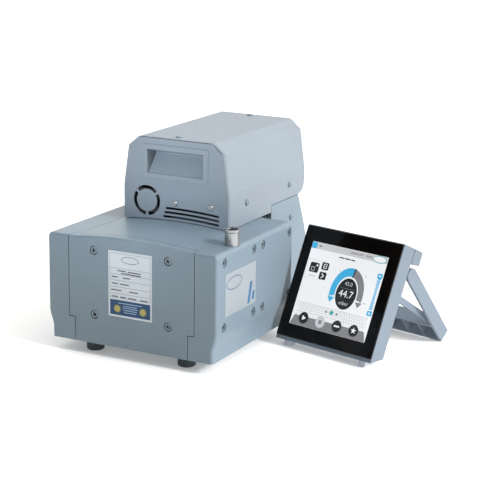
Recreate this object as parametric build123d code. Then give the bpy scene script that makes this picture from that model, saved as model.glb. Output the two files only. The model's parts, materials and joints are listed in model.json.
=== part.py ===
"""Oil-free laboratory diaphragm pump with drive electronics under a bent hood,
and its separate table-top touch controller on a fold-out stand.

Millimetres, +Z up, both units standing on Z = 0. The pump faces -Y. The origin is the
centre of the whole set's footprint on the table.
"""
import os
from math import atan2, cos, degrees, hypot, radians, sin

from build123d import *

# ---- pump, front block ------------------------------------------------------------
PUMP_WIDTH = 243.0          # outside of the two side covers
BLOCK_LENGTH = 205.0        # front cover face to the rear of the side covers
DECK_Z = 152.5              # flat margins of the top deck
CROWN_RISE = 5.0            # the middle of the deck is arched by this much
BASE_Z = 15.5               # underside of the covers, the height of the feet
DECK_HALF = 81.0            # half width of the arched middle
COVER_HALF_TOP = 90.4       # half width of the front cover above its step
COVER_HALF_LOW = 81.4       # half width below the step
COVER_STEP_Z = 46.6
COVER_THICK = 12.0
COVER_WALL = 4.0
SEAM = 0.9                  # visible gap between neighbouring covers
FOLD_R = 6.0                # rounded long edges of the side covers
CORNER_R = 3.5              # rounded front corners
TUCK = 5.5                  # the side covers draw in by this much near the floor
TUCK_TOP_Z = 55.0
TUCK_LOW_Z = 26.0

# ---- fasteners --------------------------------------------------------------------
SCREW_HEAD_R = 5.0          # M6 socket head cap screws
SCREW_HEAD_H = 6.0
SCREW_SHANK_R = 3.0
SCREW_HOLE_R = 3.3
THREAD_GAP = 0.05            # the modelled threads are plain cylinders this much apart
SCREW_SOCKET = 5.0          # key size across flats
BORE_HEAD_R = 5.75          # counterbore
BORE_DEPTH = 7.0
BOSS_R = 9.0
SMALL_HEAD_R = 4.0          # M4 pan heads of the sheet metal
SMALL_SHANK_R = 2.0
SMALL_LENGTH = 7.0
FRONT_SCREW_X = 53.2
FRONT_SCREW_Z = (53.7, 136.9)
SIDE_SCREW_Y = (18.5, 97.0, 122.0, 197.0)
SIDE_SCREW_Z = (58.4, 140.0)

# ---- plates and ports -------------------------------------------------------------
PLATE_SIZE = (63.0, 85.0)   # rating plate, width and height
PLATE_CENTRE = (-0.7, 98.1)
PLATE_T = 0.6
PLATE_SINK = 0.9
LABEL_SIZE = (81.0, 54.0)   # label on the right cover, length and height
LABEL_CENTRE = (61.3, 97.6)
LABEL_T = 0.4
INLET_X, INLET_Y = 110.0, 59.5
INLET_H = 20.0
INLET_BARREL_R = 9.4
INLET_RIM_R = 10.7
INLET_BORE_R = 6.0
INLET_RIM_T = 2.6
OUTLET_X, OUTLET_Y = -98.0, 175.0
OUTLET_R = 9.5
OUTLET_H = 40.0
OUTLET_BORE_R = 4.0

# ---- drive train ------------------------------------------------------------------
SHAFT_Z = 85.0
SHAFT_R = 8.0
RUN_GAP = 0.05              # radial clearance of a running fit
CASE_HALF = 62.0            # crankcase half width
CASE_WALL = 8.0
CASE_Y = (14.0, 198.0)
CASE_Z = (22.0, 147.0)
THROW = 3.5                 # eccentric offset, half of the stroke
ECCENTRIC_R = 14.0
ROD_T = 9.0
ROD_Y = ((57.0, 147.0), (69.0, 159.0))      # left rods, right rods
DIAPHRAGM_R = 38.0
DIAPHRAGM_T = 3.0
HEAD_INSET = 13.5           # the pump heads end this far inside the covers' outer faces
HEAD_X = PUMP_WIDTH / 2 - HEAD_INSET
BEARING_R = 16.0
BEARING_T = 10.0

# ---- rear block -------------------------------------------------------------------
GAP_LENGTH = 29.0           # open air gap between the two blocks
REAR_HALF = 76.8
REAR_TOP_Z = 163.0
REAR_WALL = 3.5
REAR_FOLD_R = 2.5
REAR_SCREW = (61.0, 135.0)   # from the rear block's front, and up
REAR_PROFILE = ((85.0, 163.0), (107.0, 115.0), (112.0, 100.0), (112.0, 15.5))
STATOR_R = 54.0
STATOR_BORE_R = 31.0
STATOR_L = 46.0
ROTOR_R = 30.2
FAN_R = 44.0
FAN_T = 14.0
FAN_BLADES = 9
GRILLE_HALF = 52.0
GRILLE_T = 2.5
GRILLE_Z = (24.0, 96.0)
GRILLE_ROWS = 8

# ---- electronics hood -------------------------------------------------------------
HOOD_FRONT_Y = 111.0
HOOD_LENGTH = 224.0
HOOD_TOP_Z = 264.3
HOOD_HALF_TOP = 53.9        # outline, from the top down
HOOD_HALF_MID = 69.5
HOOD_MID_Z = 251.4
HOOD_KNEE_Z = 199.0
HOOD_SHEET = 1.6
HOOD_BEND_R = 4.0           # outside radius of its bends
HOOD_CLEAR = 0.8            # hood edge over the deck and the rear block
HOOD_REAR_R = 16.0          # rounded lower rear corner
PANEL_T = 2.5               # front panel
CUP_X = (-43.4, 42.8)       # handle recess opening
CUP_Z = (215.4, 250.4)
CUP_DEPTH = 17.0
CUP_RIM = 4.6
CUP_RIM_T = 1.5
CUP_WALL = 2.0
RING_CENTRE = (-42.6, 180.7)
RING_R = (14.9, 19.8)
RING_BRIDGES = (36.0, 142.0, 270.0)
RING_BRIDGE_DEG = 11.0
VENT_X = (-18.5, 63.5)
VENT_STAGGER = 2.1          # each vent starts this much right of the one below it
VENT_RISE = (3.6, 9.1, 14.7)
VENT_SLOT = 3.0
PANEL_SCREWS = ((-0.8, 181.0), (51.8, 181.4))
HOOD_TOP_SCREWS = (127.0, 325.0)
HOOD_TOP_SCREW_X = -4.0
HOOD_SIDE_SCREWS = (162.0, 288.0)
HOOD_SIDE_SCREW_Z = 182.0
FAN40 = 40.0                # small fan behind the ring of slots
FAN40_T = 10.0
INLET_C14 = (28.0, 21.0)    # mains inlet opening
C14_CENTRE = (-38.0, 192.0)
SWITCH_SIZE = (13.0, 20.0)
SWITCH_CENTRE = (-8.0, 192.0)
SWITCH_TILT = 7.0
SWITCH_WALL = 0.9
SWITCH_PIVOT = 1.0          # pivot behind the panel's face
TRUNNION_R = 1.2
SOCKET_R = 6.0
SOCKET_X = (22.0, 44.0)
SOCKET_Z = 192.0

# ---- feet -------------------------------------------------------------------------
FOOT_R = 11.4
FRONT_FOOT = (67.0, 24.0)
REAR_FOOT = (56.0, 300.0)
FOOT_STUD_R = 3.0
FOOT_STUD_H = 9.0

# ---- controller -------------------------------------------------------------------
CTRL_YAW = -13.8
CTRL_TILT = 24.5
CTRL_WIDTH = 153.0
CTRL_GAP = 1.2              # between the pump and the controller, if it stood square
CTRL_AT = (PUMP_WIDTH / 2 + CTRL_GAP + CTRL_WIDTH / 2, 138.4)    # its base point
GLASS_H = 148.2
GLASS_T = 2.0
GLASS_Z = 14.0              # height of the glass' lower edge over the table
CHIN = 5.0
CASE_DEPTH = 28.0
CASE_SIDE = 2.5
CHIN_REAR_E = 5.2           # lower rear edge of the case, along the panel
HUMP_DEPTH = 18.5
HUMP_E = 131.0
RECESS_N = 16.0             # depth of the recess floor behind the glass
LCD_SIZE = (122.0, 112.0)
LCD_CENTRE_E = 72.5
LCD_T = 5.0
BOARD_T = 1.6
LEG_PIVOT_E = 117.0
LEG_PAD_T = 1.0
LEG_ARM_T = 4.0
LEG_THICK = HUMP_DEPTH
LEG_GAP = 0.4
LEG_FOLD = 63.9             # opening angle of the leg from the folded state
LEG_BAR_U = 95.5            # the ribbed crossbar starts here, measured from the pivot
LEG_SKIN = 2.4
PIN_R = 3.0
STRUT_U = 86.5
STRUT_Y = 5.0
STRUT_TIP = (36.0, 85.0)    # upper end of the strut, behind the glass and along the panel
STRUT_X = (63.0, 67.8)
STRUT_HALF = 4.0
STRUT_ROD_R = 2.6
STRUT_PIN_R = 2.0
EAR_X = 60.5                # hinge ears of the back cover
EAR_T = 4.0
EAR_R = 5.5
CATCH_X = 45.0              # catches that hold the strut's cross rod
CATCH_HALF = 5.0
CATCH_TALL = 11.8
CATCH_H = 15.0
FRONT_PAD_X = 60.0
PAD_WIDE, PAD_DEEP = 11.0, 9.0
PLUG_X = (-30.0, 0.0, 30.0)  # small round sockets of the hump
PLUG_R = 4.4
PLUG_BORE_R = 3.2


# ---- helpers ----------------------------------------------------------------------
def block(x, y, z):
    """Box between three pairs of limits."""
    size = [high - low for low, high in (x, y, z)]
    middle = [(high + low) / 2 for low, high in (x, y, z)]
    return Pos(*middle) * Box(*size)


def rod(axis, start, end, radius, at=(0.0, 0.0)):
    """Cylinder along an axis. at holds the other two coordinates, in X, Y, Z order."""
    solid = Pos(0, 0, (start + end) / 2) * Cylinder(radius, end - start)
    if axis == "x":
        return Pos(0, at[0], at[1]) * Rot(0, 90, 0) * solid
    if axis == "y":
        return Pos(at[0], 0, at[1]) * Rot(-90, 0, 0) * solid
    return Pos(at[0], at[1], 0) * solid


def prism_y(face, start, end):
    """Extrude a face drawn in X and Z between two Y values."""
    plane = Plane(origin=(0, end, 0), x_dir=(1, 0, 0), z_dir=(0, -1, 0))
    return extrude(plane * face, end - start)


def prism_x(face, start, end):
    """Extrude a face drawn in Y and Z between two X values."""
    plane = Plane(origin=(start, 0, 0), x_dir=(0, 1, 0), z_dir=(1, 0, 0))
    return extrude(plane * face, end - start)


def outline(*points):
    """Closed polygon face."""
    return make_face(Polyline(*points, close=True))


def flip(shape):
    """Mirror image across the pump's middle plane."""
    return mirror(shape, Plane.YZ)


def single(shape):
    """The one solid of a boolean result."""
    solids = shape.solids()
    return max(solids, key=lambda solid: solid.volume)


def group(shapes):
    """Separate solids kept in one node."""
    return Compound(children=[single(shape) for shape in shapes])


def hex_socket(depth):
    """Hexagonal key hole, opening at Z = 0 and going down."""
    face = RegularPolygon(SCREW_SOCKET / 2, 6, major_radius=False)
    return Pos(0, 0, -depth) * extrude(face, depth + 1.0)


def cap_screw(length):
    """Socket head cap screw, its head's top at Z = 0, pointing down."""
    head = chamfer(Cylinder(SCREW_HEAD_R, SCREW_HEAD_H).edges().group_by(Axis.Z)[-1], 0.5)
    screw = Pos(0, 0, -SCREW_HEAD_H / 2) * head
    screw += Pos(0, 0, -SCREW_HEAD_H - length / 2) * Cylinder(SCREW_SHANK_R, length)
    return screw - hex_socket(3.0)


def pan_screw(length=SMALL_LENGTH):
    """Small pan head screw with a cross slot, its shoulder at Z = 0."""
    dome = Pos(0, 0, 1.0) * Cylinder(SMALL_HEAD_R, 2.0)
    screw = fillet(dome.edges().group_by(Axis.Z)[-1], 1.2)
    screw += Pos(0, 0, -length / 2) * Cylinder(SMALL_SHANK_R, length)
    for turn in (0, 90):
        screw -= Pos(0, 0, 1.7) * Rot(0, 0, turn) * Box(3.6, 0.8, 1.2)
    return screw


# ---- pump, front block ------------------------------------------------------------
def crown_z(x):
    """Height of the arched deck at x: a circle through its middle and its two margins."""
    radius = (DECK_HALF ** 2 + CROWN_RISE ** 2) / (2 * CROWN_RISE)
    return DECK_Z + CROWN_RISE - radius + (radius ** 2 - x ** 2) ** 0.5


def arched_face(half, low, lift=0.0):
    """Area between z = low and the deck's arch, raised by lift, over +-half."""
    edge = crown_z(half) + lift
    top = ThreePointArc((-half, edge), (0, DECK_Z + CROWN_RISE + lift), (half, edge))
    sides = Polyline((half, edge), (half, low), (-half, low), (-half, edge))
    return make_face(top + sides)


def front_cover():
    half_top = COVER_HALF_TOP - SEAM / 2
    half_low = COVER_HALF_LOW - SEAM / 2
    plate = block((-half_top, half_top), (0, COVER_THICK), (COVER_STEP_Z + SEAM, DECK_Z))
    plate += block((-half_low, half_low), (0, COVER_THICK), (BASE_Z, COVER_STEP_Z + SEAM + 1))
    plate += prism_y(arched_face(DECK_HALF, DECK_Z - 5), 0, COVER_THICK)
    top_front = plate.edges().filter_by(lambda e: e.center().Z > DECK_Z - 0.5 and e.center().Y < 0.1)
    plate = fillet(top_front, CORNER_R)
    x_mid, z_mid = PLATE_CENTRE
    wide, high = PLATE_SIZE
    pocket = Box(wide + 0.6, 2 * PLATE_SINK, high + 0.6)
    plate -= Pos(x_mid, 0, z_mid) * pocket
    for x in (-FRONT_SCREW_X, FRONT_SCREW_X):
        for z in FRONT_SCREW_Z:
            plate -= rod("y", -1, BORE_DEPTH, BORE_HEAD_R, (x, z))
            plate -= rod("y", 0, COVER_THICK + 1, SCREW_HOLE_R, (x, z))
    return plate


def side_profile(inset=0.0):
    """Outline of the right cover in X and Z, from the deck's arch out to the side."""
    outer = PUMP_WIDTH / 2 - inset
    top = DECK_Z - inset
    low = BASE_Z + inset
    fold = max(FOLD_R - inset, 0.5)
    inner = DECK_HALF + SEAM / 2 if inset == 0 else CASE_HALF
    line = Polyline((inner, low), (inner, top), (outer - fold, top))
    line += RadiusArc((outer - fold, top), (outer, top - fold), fold)
    line += Line((outer, top - fold), (outer, TUCK_TOP_Z))
    knee = (TUCK_TOP_Z + TUCK_LOW_Z) / 2
    line += Bezier((outer, TUCK_TOP_Z), (outer, knee), (outer - TUCK, knee), (outer - TUCK, TUCK_LOW_Z))
    line += Polyline((outer - TUCK, TUCK_LOW_Z), (outer - TUCK, low), (inner, low))
    return make_face(line)


def side_cover(port_x, port_y, port_r):
    """Right cover: a shell that wraps the front corner, the side and the deck's margin."""
    shell = prism_y(side_profile(), 0, BLOCK_LENGTH)
    corner = shell.edges().filter_by(Axis.Z).filter_by(
        lambda e: e.center().Y < 0.1 and e.center().X > PUMP_WIDTH / 2 - 0.1)
    shell = fillet(corner, CORNER_R)
    shell -= prism_y(side_profile(COVER_WALL), COVER_WALL + 1.0, BLOCK_LENGTH - COVER_WALL)
    front_top = block((0, COVER_HALF_TOP + SEAM / 2), (-1, COVER_THICK + SEAM), (COVER_STEP_Z, DECK_Z + 1))
    front_low = block((0, COVER_HALF_LOW + SEAM / 2), (-1, COVER_THICK + SEAM), (0, DECK_Z + 1))
    shell -= front_top + front_low
    outer = PUMP_WIDTH / 2
    for y in SIDE_SCREW_Y:
        for z in SIDE_SCREW_Z:
            boss = rod("x", HEAD_X, outer - COVER_WALL + 0.5, BOSS_R, (y, z))
            shell += boss & prism_y(side_profile(COVER_WALL / 2), COVER_WALL / 2, BLOCK_LENGTH)
    for y in SIDE_SCREW_Y:
        for z in SIDE_SCREW_Z:
            shell -= rod("x", outer - BORE_DEPTH, outer + 1, BORE_HEAD_R, (y, z))
            shell -= rod("x", HEAD_X - 1, outer, SCREW_HOLE_R, (y, z))
    return shell - rod("z", DECK_Z - 20, DECK_Z + 1, port_r, (port_x, port_y))


def front_screws():
    place = [(x, z) for z in FRONT_SCREW_Z for x in (-FRONT_SCREW_X, FRONT_SCREW_X)]
    screw = cap_screw(12.0)
    seat = BORE_DEPTH - SCREW_HEAD_H
    return group([Pos(x, seat, z) * Rot(90, 0, 0) * screw for x, z in place])


def side_screws():
    screw = cap_screw(20.0)
    seat = PUMP_WIDTH / 2 - BORE_DEPTH + SCREW_HEAD_H
    turn = Rot(0, 90, 0)
    return group([Pos(seat, y, z) * turn * screw for y in SIDE_SCREW_Y for z in SIDE_SCREW_Z])


def top_deck():
    """Arched panel between the two side covers."""
    panel = prism_y(arched_face(DECK_HALF - SEAM / 2, DECK_Z - 3), COVER_THICK + SEAM, BLOCK_LENGTH)
    panel -= prism_y(arched_face(DECK_HALF - 8, DECK_Z - 4, -4.0), COVER_THICK + 6, BLOCK_LENGTH - 6)
    return panel


def base_plate():
    half = COVER_HALF_LOW - 1.0
    plate = block((-half, half), (COVER_THICK + SEAM, BLOCK_LENGTH), (BASE_Z, BASE_Z + 4))
    for x in (-FRONT_FOOT[0], FRONT_FOOT[0]):
        plate -= rod("z", 0, BASE_Z + 5, FOOT_STUD_R + THREAD_GAP, (x, FRONT_FOOT[1]))
    return plate


def rating_plate():
    x_mid, z_mid = PLATE_CENTRE
    wide, high = PLATE_SIZE
    low = PLATE_SINK - PLATE_T
    return Pos(x_mid, low + PLATE_T / 2, z_mid) * Box(wide, PLATE_T, high)


def side_label():
    y_mid, z_mid = LABEL_CENTRE
    long, high = LABEL_SIZE
    return Pos(PUMP_WIDTH / 2 + LABEL_T / 2, y_mid, z_mid) * Box(LABEL_T, long, high)


def foot(x, y):
    rubber = Pos(x, y, BASE_Z / 2) * Cylinder(FOOT_R, BASE_Z)
    rubber = chamfer(rubber.edges().group_by(Axis.Z)[0], 1.5)
    return rubber + rod("z", BASE_Z - 1, BASE_Z + FOOT_STUD_H, FOOT_STUD_R, (x, y))


def feet():
    places = [(side * x, y) for x, y in (FRONT_FOOT, REAR_FOOT) for side in (-1, 1)]
    return group([foot(x, y) for x, y in places])


def inlet_flange():
    """Stainless stub with a conical rim, screwed into the right head's manifold."""
    top = DECK_Z + INLET_H
    stub = rod("z", DECK_Z - 16, DECK_Z, INLET_BARREL_R - 1.1)
    stub += rod("z", DECK_Z, top, INLET_BARREL_R)
    stub += rod("z", top - INLET_RIM_T, top, INLET_RIM_R)
    cone = Pos(0, 0, top - INLET_RIM_T - 0.6) * Cone(INLET_BARREL_R, INLET_RIM_R, 1.2)
    stub += cone
    stub -= rod("z", DECK_Z - 17, top + 1, INLET_BORE_R)
    stub -= rod("z", top - 1.2, top + 1, INLET_BORE_R + 1.8)
    return Pos(INLET_X, INLET_Y, 0) * stub


def outlet_silencer():
    """Moulded silencer over the outlet, its gas leaving through the bore on top."""
    body = rod("z", DECK_Z, DECK_Z + OUTLET_H, OUTLET_R)
    body = fillet(body.edges().group_by(Axis.Z)[-1], 2.0)
    body += rod("z", DECK_Z - 12, DECK_Z + 1, OUTLET_R - 3.2)
    for turn in range(0, 360, 30):
        slot = Pos(OUTLET_R, 0, DECK_Z + OUTLET_H * 0.55) * Box(2.4, 1.6, OUTLET_H * 0.5)
        body -= Rot(0, 0, turn) * slot
    body -= rod("z", DECK_Z - 13, DECK_Z + OUTLET_H + 1, OUTLET_BORE_R)
    return Pos(OUTLET_X, OUTLET_Y, 0) * body


# ---- drive train ------------------------------------------------------------------
def crankcase():
    case = block((-CASE_HALF, CASE_HALF), CASE_Y, CASE_Z)
    inner = [(low + CASE_WALL, high - CASE_WALL) for low, high in (CASE_Y, CASE_Z)]
    half = CASE_HALF - CASE_WALL
    case -= block((-half, half), *inner)
    case -= rod("y", CASE_Y[0] - 1, CASE_Y[1] + 1, BEARING_R, (0, SHAFT_Z))
    for side, places in ((-1, ROD_Y[0]), (1, ROD_Y[1])):
        for y in places:
            start, end = sorted((side * (half - 1), side * (CASE_HALF + 1)))
            case -= rod("x", start, end, DIAPHRAGM_R - 6, (y, SHAFT_Z))
    for x in (-FRONT_SCREW_X, FRONT_SCREW_X):
        for z in FRONT_SCREW_Z:
            radius = SCREW_SHANK_R + THREAD_GAP
            case -= rod("y", CASE_Y[0] - 1, CASE_Y[0] + CASE_WALL, radius, (x, z))
    return case


def bearings():
    """One ball bearing in each end wall of the crankcase."""
    rings = []
    for y in (CASE_Y[0], CASE_Y[1] - BEARING_T):
        ring = rod("y", y, y + BEARING_T, BEARING_R, (0, SHAFT_Z))
        rings.append(ring - rod("y", y - 1, y + BEARING_T + 1, SHAFT_R + RUN_GAP, (0, SHAFT_Z)))
    return group(rings)


def crankshaft():
    """Shaft with one eccentric for each rod, the right ones half a turn after the left."""
    shaft = rod("y", CASE_Y[0], BLOCK_LENGTH + GAP_LENGTH + 84, SHAFT_R, (0, SHAFT_Z))
    for side, places in ((1, ROD_Y[0]), (-1, ROD_Y[1])):
        for y in places:
            low, high = y - ROD_T / 2, y + ROD_T / 2
            shaft += rod("y", low, high, ECCENTRIC_R, (0, SHAFT_Z + side * THROW))
    return shaft


def counterweights():
    """Half discs opposite the eccentrics."""
    weights = []
    for side, places in ((-1, ROD_Y[0]), (1, ROD_Y[1])):
        y = places[0] - 16 if side < 0 else places[1] + 16
        disc = rod("y", y - 5, y + 5, 26, (0, SHAFT_Z))
        keep = block((-30, 30), (y - 6, y + 6), sorted((SHAFT_Z, SHAFT_Z + side * 30)))
        weights.append((disc & keep) - rod("y", y - 6, y + 6, SHAFT_R, (0, SHAFT_Z)))
    return group(weights)


def piston_rod(y):
    """Right-hand connecting rod, at mid stroke, with a clamping disc for its diaphragm."""
    low, high = y - ROD_T / 2 + 0.3, y + ROD_T / 2 - 0.3
    ring_r = ECCENTRIC_R + THROW + 0.6
    arm = rod("y", low, high, ring_r + 6, (0, SHAFT_Z))
    arm += block((0, CASE_HALF), (low, high), (SHAFT_Z - 6, SHAFT_Z + 6))
    arm -= rod("y", low - 1, high + 1, ring_r, (0, SHAFT_Z))
    return arm + rod("x", CASE_HALF - 4, CASE_HALF, 16, (y, SHAFT_Z))


def diaphragm(y):
    return rod("x", CASE_HALF, CASE_HALF + DIAPHRAGM_T, DIAPHRAGM_R, (y, SHAFT_Z))


def pump_head(places, port_x, port_y, port_r):
    """Right-hand head: one block with the two pumping chambers and the screw holes."""
    low_z = BASE_Z + COVER_WALL + 12
    head = block((CASE_HALF, HEAD_X), (CASE_Y[0] + 2, CASE_Y[1] - 2), (low_z, DECK_Z - COVER_WALL - 2))
    head &= prism_y(side_profile(COVER_WALL + 0.5), 0, BLOCK_LENGTH)
    for y in places:
        head -= rod("x", CASE_HALF - 1, CASE_HALF + DIAPHRAGM_T, DIAPHRAGM_R + THREAD_GAP, (y, SHAFT_Z))
        head -= rod("x", CASE_HALF, CASE_HALF + 9, DIAPHRAGM_R - 8, (y, SHAFT_Z))
        for z in (SHAFT_Z - 13, SHAFT_Z + 13):
            head -= rod("x", CASE_HALF + 8, CASE_HALF + 24, 6, (y, z))
    for y in SIDE_SCREW_Y:
        for z in SIDE_SCREW_Z:
            head -= rod("x", HEAD_X - 16, HEAD_X + 1, SCREW_SHANK_R + THREAD_GAP, (y, z))
    return head - rod("z", DECK_Z - 22, DECK_Z + 1, port_r, (port_x, port_y))


# ---- rear block -------------------------------------------------------------------
def rear_start():
    return BLOCK_LENGTH + GAP_LENGTH


def rear_face(inset=0.0):
    """Side view of the rear block, from its front wall to the sloping rear."""
    start = rear_start()
    points = [(start + y - inset, min(max(z, BASE_Z + inset), REAR_TOP_Z - inset)) for y, z in REAR_PROFILE]
    return outline((start + inset, BASE_Z + inset), (start + inset, REAR_TOP_Z - inset), *points)


def motor_housing():
    start = rear_start()
    rear_y = start + REAR_PROFILE[-1][0]
    shell = prism_x(rear_face(), -REAR_HALF, REAR_HALF)
    outer = shell.edges().filter_by(lambda e: abs(e.center().X) > REAR_HALF - 0.1)
    folds = outer.filter_by(lambda e: e.center().Z > BASE_Z + 1 and e.center().Y > start + 1)
    shell = fillet(folds, REAR_FOLD_R)
    shell -= prism_x(rear_face(REAR_WALL), -REAR_HALF + REAR_WALL, REAR_HALF - REAR_WALL)
    shell -= rod("y", start - 1, start + REAR_WALL + 1, STATOR_BORE_R + 8, (0, SHAFT_Z))
    half = GRILLE_HALF - 4
    shell -= block((-half, half), (rear_y - REAR_WALL - 1, rear_y + 1), (GRILLE_Z[0] + 3, GRILLE_Z[1] - 3))
    for x in (-REAR_FOOT[0], REAR_FOOT[0]):
        shell -= rod("z", 0, BASE_Z + REAR_WALL + 1, FOOT_STUD_R + THREAD_GAP, (x, REAR_FOOT[1]))
    for x in (-REAR_HALF, REAR_HALF):
        shell -= rod("x", x - 4, x + 4, SMALL_SHANK_R + THREAD_GAP, (start + REAR_SCREW[0], REAR_SCREW[1]))
    return shell


def intake_guard():
    """Black louvred frame that fills the air gap between the two blocks."""
    start, end = BLOCK_LENGTH, rear_start()
    half = REAR_HALF - 5
    low, high = BASE_Z + 6, DECK_Z - 3
    frame = block((-half, half), (start, end), (low, high))
    frame -= block((-half + 4, half - 4), (start - 1, end + 1), (low + 4, high - 4))
    for index in range(6):
        z = low + 14 + index * (high - low - 28) / 5
        for x in (-half, half):
            frame -= block((x - 6, x + 6), (start + 4, end - 4), (z - 5, z + 5))
    return frame


def stator():
    y = rear_start() + 10
    ring = rod("y", y, y + STATOR_L, STATOR_R, (0, SHAFT_Z))
    return ring - rod("y", y - 1, y + STATOR_L + 1, STATOR_BORE_R, (0, SHAFT_Z))


def rotor():
    y = rear_start() + 12
    core = rod("y", y, y + STATOR_L - 4, ROTOR_R, (0, SHAFT_Z))
    return core - rod("y", y - 1, y + STATOR_L + 1, SHAFT_R, (0, SHAFT_Z))


def cooling_fan():
    y = rear_start() + 66
    wheel = rod("y", y, y + FAN_T, 16, (0, SHAFT_Z))
    for index in range(FAN_BLADES):
        blade = Pos(29, y + FAN_T / 2, 0) * Rot(28, 0, 0) * Box(28, FAN_T, 2)
        turned = Rot(0, 360 * index / FAN_BLADES, 0) * blade
        wheel += Pos(0, 0, SHAFT_Z) * turned
    wheel &= rod("y", y, y + FAN_T, FAN_R, (0, SHAFT_Z))
    return wheel - rod("y", y - 1, y + FAN_T + 1, SHAFT_R, (0, SHAFT_Z))


def fan_grille():
    """Louvred plate over the fan's outlet, on the rear of the motor housing."""
    y = rear_start() + REAR_PROFILE[-1][0]
    low, high = GRILLE_Z
    half = GRILLE_HALF
    plate = block((-half, half), (y, y + GRILLE_T), (low, high))
    pitch = (high - low - 6) / GRILLE_ROWS
    for row in range(GRILLE_ROWS):
        z = low + 3 + pitch * (row + 0.5)
        for side in (-1, 1):
            middle = side * half / 2
            x_low, x_high = middle - half / 2 + 3, middle + half / 2 - 3
            plate -= block((x_low, x_high), (y - 1, y + 4), (z - 2.2, z + 2.2))
    return plate


def arc_slot(inner, outer, middle, span, y, at=(0.0, SHAFT_Z), depth=6.0):
    """Cutter for a curved slot: a ring sector about a point, cut along Y."""
    first = radians(middle - span / 2)
    last = radians(middle + span / 2)
    centre = radians(middle)
    points = [(r * cos(a), r * sin(a)) for r in (outer, inner) for a in (first, centre, last)]
    face = make_face(
        ThreePointArc(*points[:3]) + Line(points[2], points[5]) + ThreePointArc(*points[5:2:-1])
        + Line(points[3], points[0]))
    return prism_y(Pos(at[0], at[1]) * face, y - depth, y + depth)


# ---- electronics hood -------------------------------------------------------------
def hood_points(inset=0.0):
    """Right half of the hood's outline, from the middle of its top down to the knee."""
    return [
        (HOOD_HALF_TOP - inset * 0.5, HOOD_TOP_Z - inset),
        (HOOD_HALF_MID - inset, HOOD_MID_Z - inset * 0.5),
        (REAR_HALF - inset, HOOD_KNEE_Z),
    ]


def hood_outline(low, inset=0.0):
    right = hood_points(inset) + [(REAR_HALF - inset, low)]
    left = [(-x, z) for x, z in reversed(right)]
    face = outline(*right, *left)
    folds = face.vertices().filter_by(lambda corner: corner.Y > low + 1)
    return fillet(folds, HOOD_BEND_R - inset)


def hood_side_view():
    """Side view of the hood: stepped lower edge, rounded lower rear corner."""
    front = HOOD_FRONT_Y + PANEL_T + SEAM
    rear = HOOD_FRONT_Y + HOOD_LENGTH
    step = rear_start()
    low = DECK_Z + HOOD_CLEAR + 0.6
    high = REAR_TOP_Z + HOOD_CLEAR
    line = Polyline((rear, high + HOOD_REAR_R), (rear, HOOD_TOP_Z + 1), (front, HOOD_TOP_Z + 1),
                    (front, low), (step - 1, low), (step - 1, high), (rear - HOOD_REAR_R, high))
    line += RadiusArc((rear - HOOD_REAR_R, high), (rear, high + HOOD_REAR_R), -HOOD_REAR_R)
    return make_face(line)


def hood_shell():
    low = DECK_Z - 5
    start, end = HOOD_FRONT_Y, HOOD_FRONT_Y + HOOD_LENGTH
    sheet = prism_y(hood_outline(low), start, end)
    sheet -= prism_y(hood_outline(low - 5, HOOD_SHEET), start - 1, end + 1)
    sheet &= prism_x(hood_side_view(), -REAR_HALF - 1, REAR_HALF + 1)
    for y in HOOD_TOP_SCREWS:
        sheet -= rod("z", HOOD_TOP_Z - 5, HOOD_TOP_Z + 1, SMALL_SHANK_R + THREAD_GAP, (HOOD_TOP_SCREW_X, y))
    for y in HOOD_SIDE_SCREWS:
        sheet -= rod("x", -REAR_HALF - 1, REAR_HALF + 1, SMALL_SHANK_R + THREAD_GAP, (y, HOOD_SIDE_SCREW_Z))
    return sheet


def hood_front_panel():
    """Front panel with the handle opening, the ring of slots and three curved vents."""
    y = HOOD_FRONT_Y
    panel = prism_y(hood_outline(DECK_Z - 5), y, y + PANEL_T)
    wide = REAR_HALF + 1
    below = prism_y(arched_face(DECK_HALF - 0.1, DECK_Z - 20, HOOD_CLEAR), y - 1, y + PANEL_T + 1)
    panel -= below & block((-wide, wide), (y - 1, y + PANEL_T + 1), (0, DECK_Z + 10))
    corners = panel.edges().filter_by(Axis.Y).filter_by(
        lambda e: e.center().Z < DECK_Z + 8 and abs(e.center().X) > REAR_HALF - 1)
    panel = fillet(corners, 3.5)
    panel -= block(CUP_X, (y - 1, y + PANEL_T + 1), CUP_Z)
    for index in range(len(RING_BRIDGES)):
        first = RING_BRIDGES[index]
        last = RING_BRIDGES[(index + 1) % len(RING_BRIDGES)]
        span = (last - first) % 360
        panel -= arc_slot(*RING_R, first + span / 2, span - RING_BRIDGE_DEG, y, RING_CENTRE)
    for index, rise in enumerate(VENT_RISE):
        panel -= curved_vent(VENT_X[0] + index * VENT_STAGGER, rise, y)
    for x, z in PANEL_SCREWS:
        panel -= rod("y", y - 1, y + PANEL_T + 1, SMALL_SHANK_R + THREAD_GAP, (x, z))
    return panel


def curved_vent(first, rise, y):
    """Cutter for a slot that follows the deck's arch, this far above it."""
    last = VENT_X[1]
    middle = (first + last) / 2
    lower, upper = [
        [(x, crown_z(x) + rise + shift) for x in (first, middle, last)] for shift in (0, VENT_SLOT)]
    face = make_face(
        ThreePointArc(*lower) + Line(lower[2], upper[2]) + ThreePointArc(*reversed(upper))
        + Line(upper[0], lower[0]))
    return prism_y(face, y - 5, y + 5)


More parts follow.
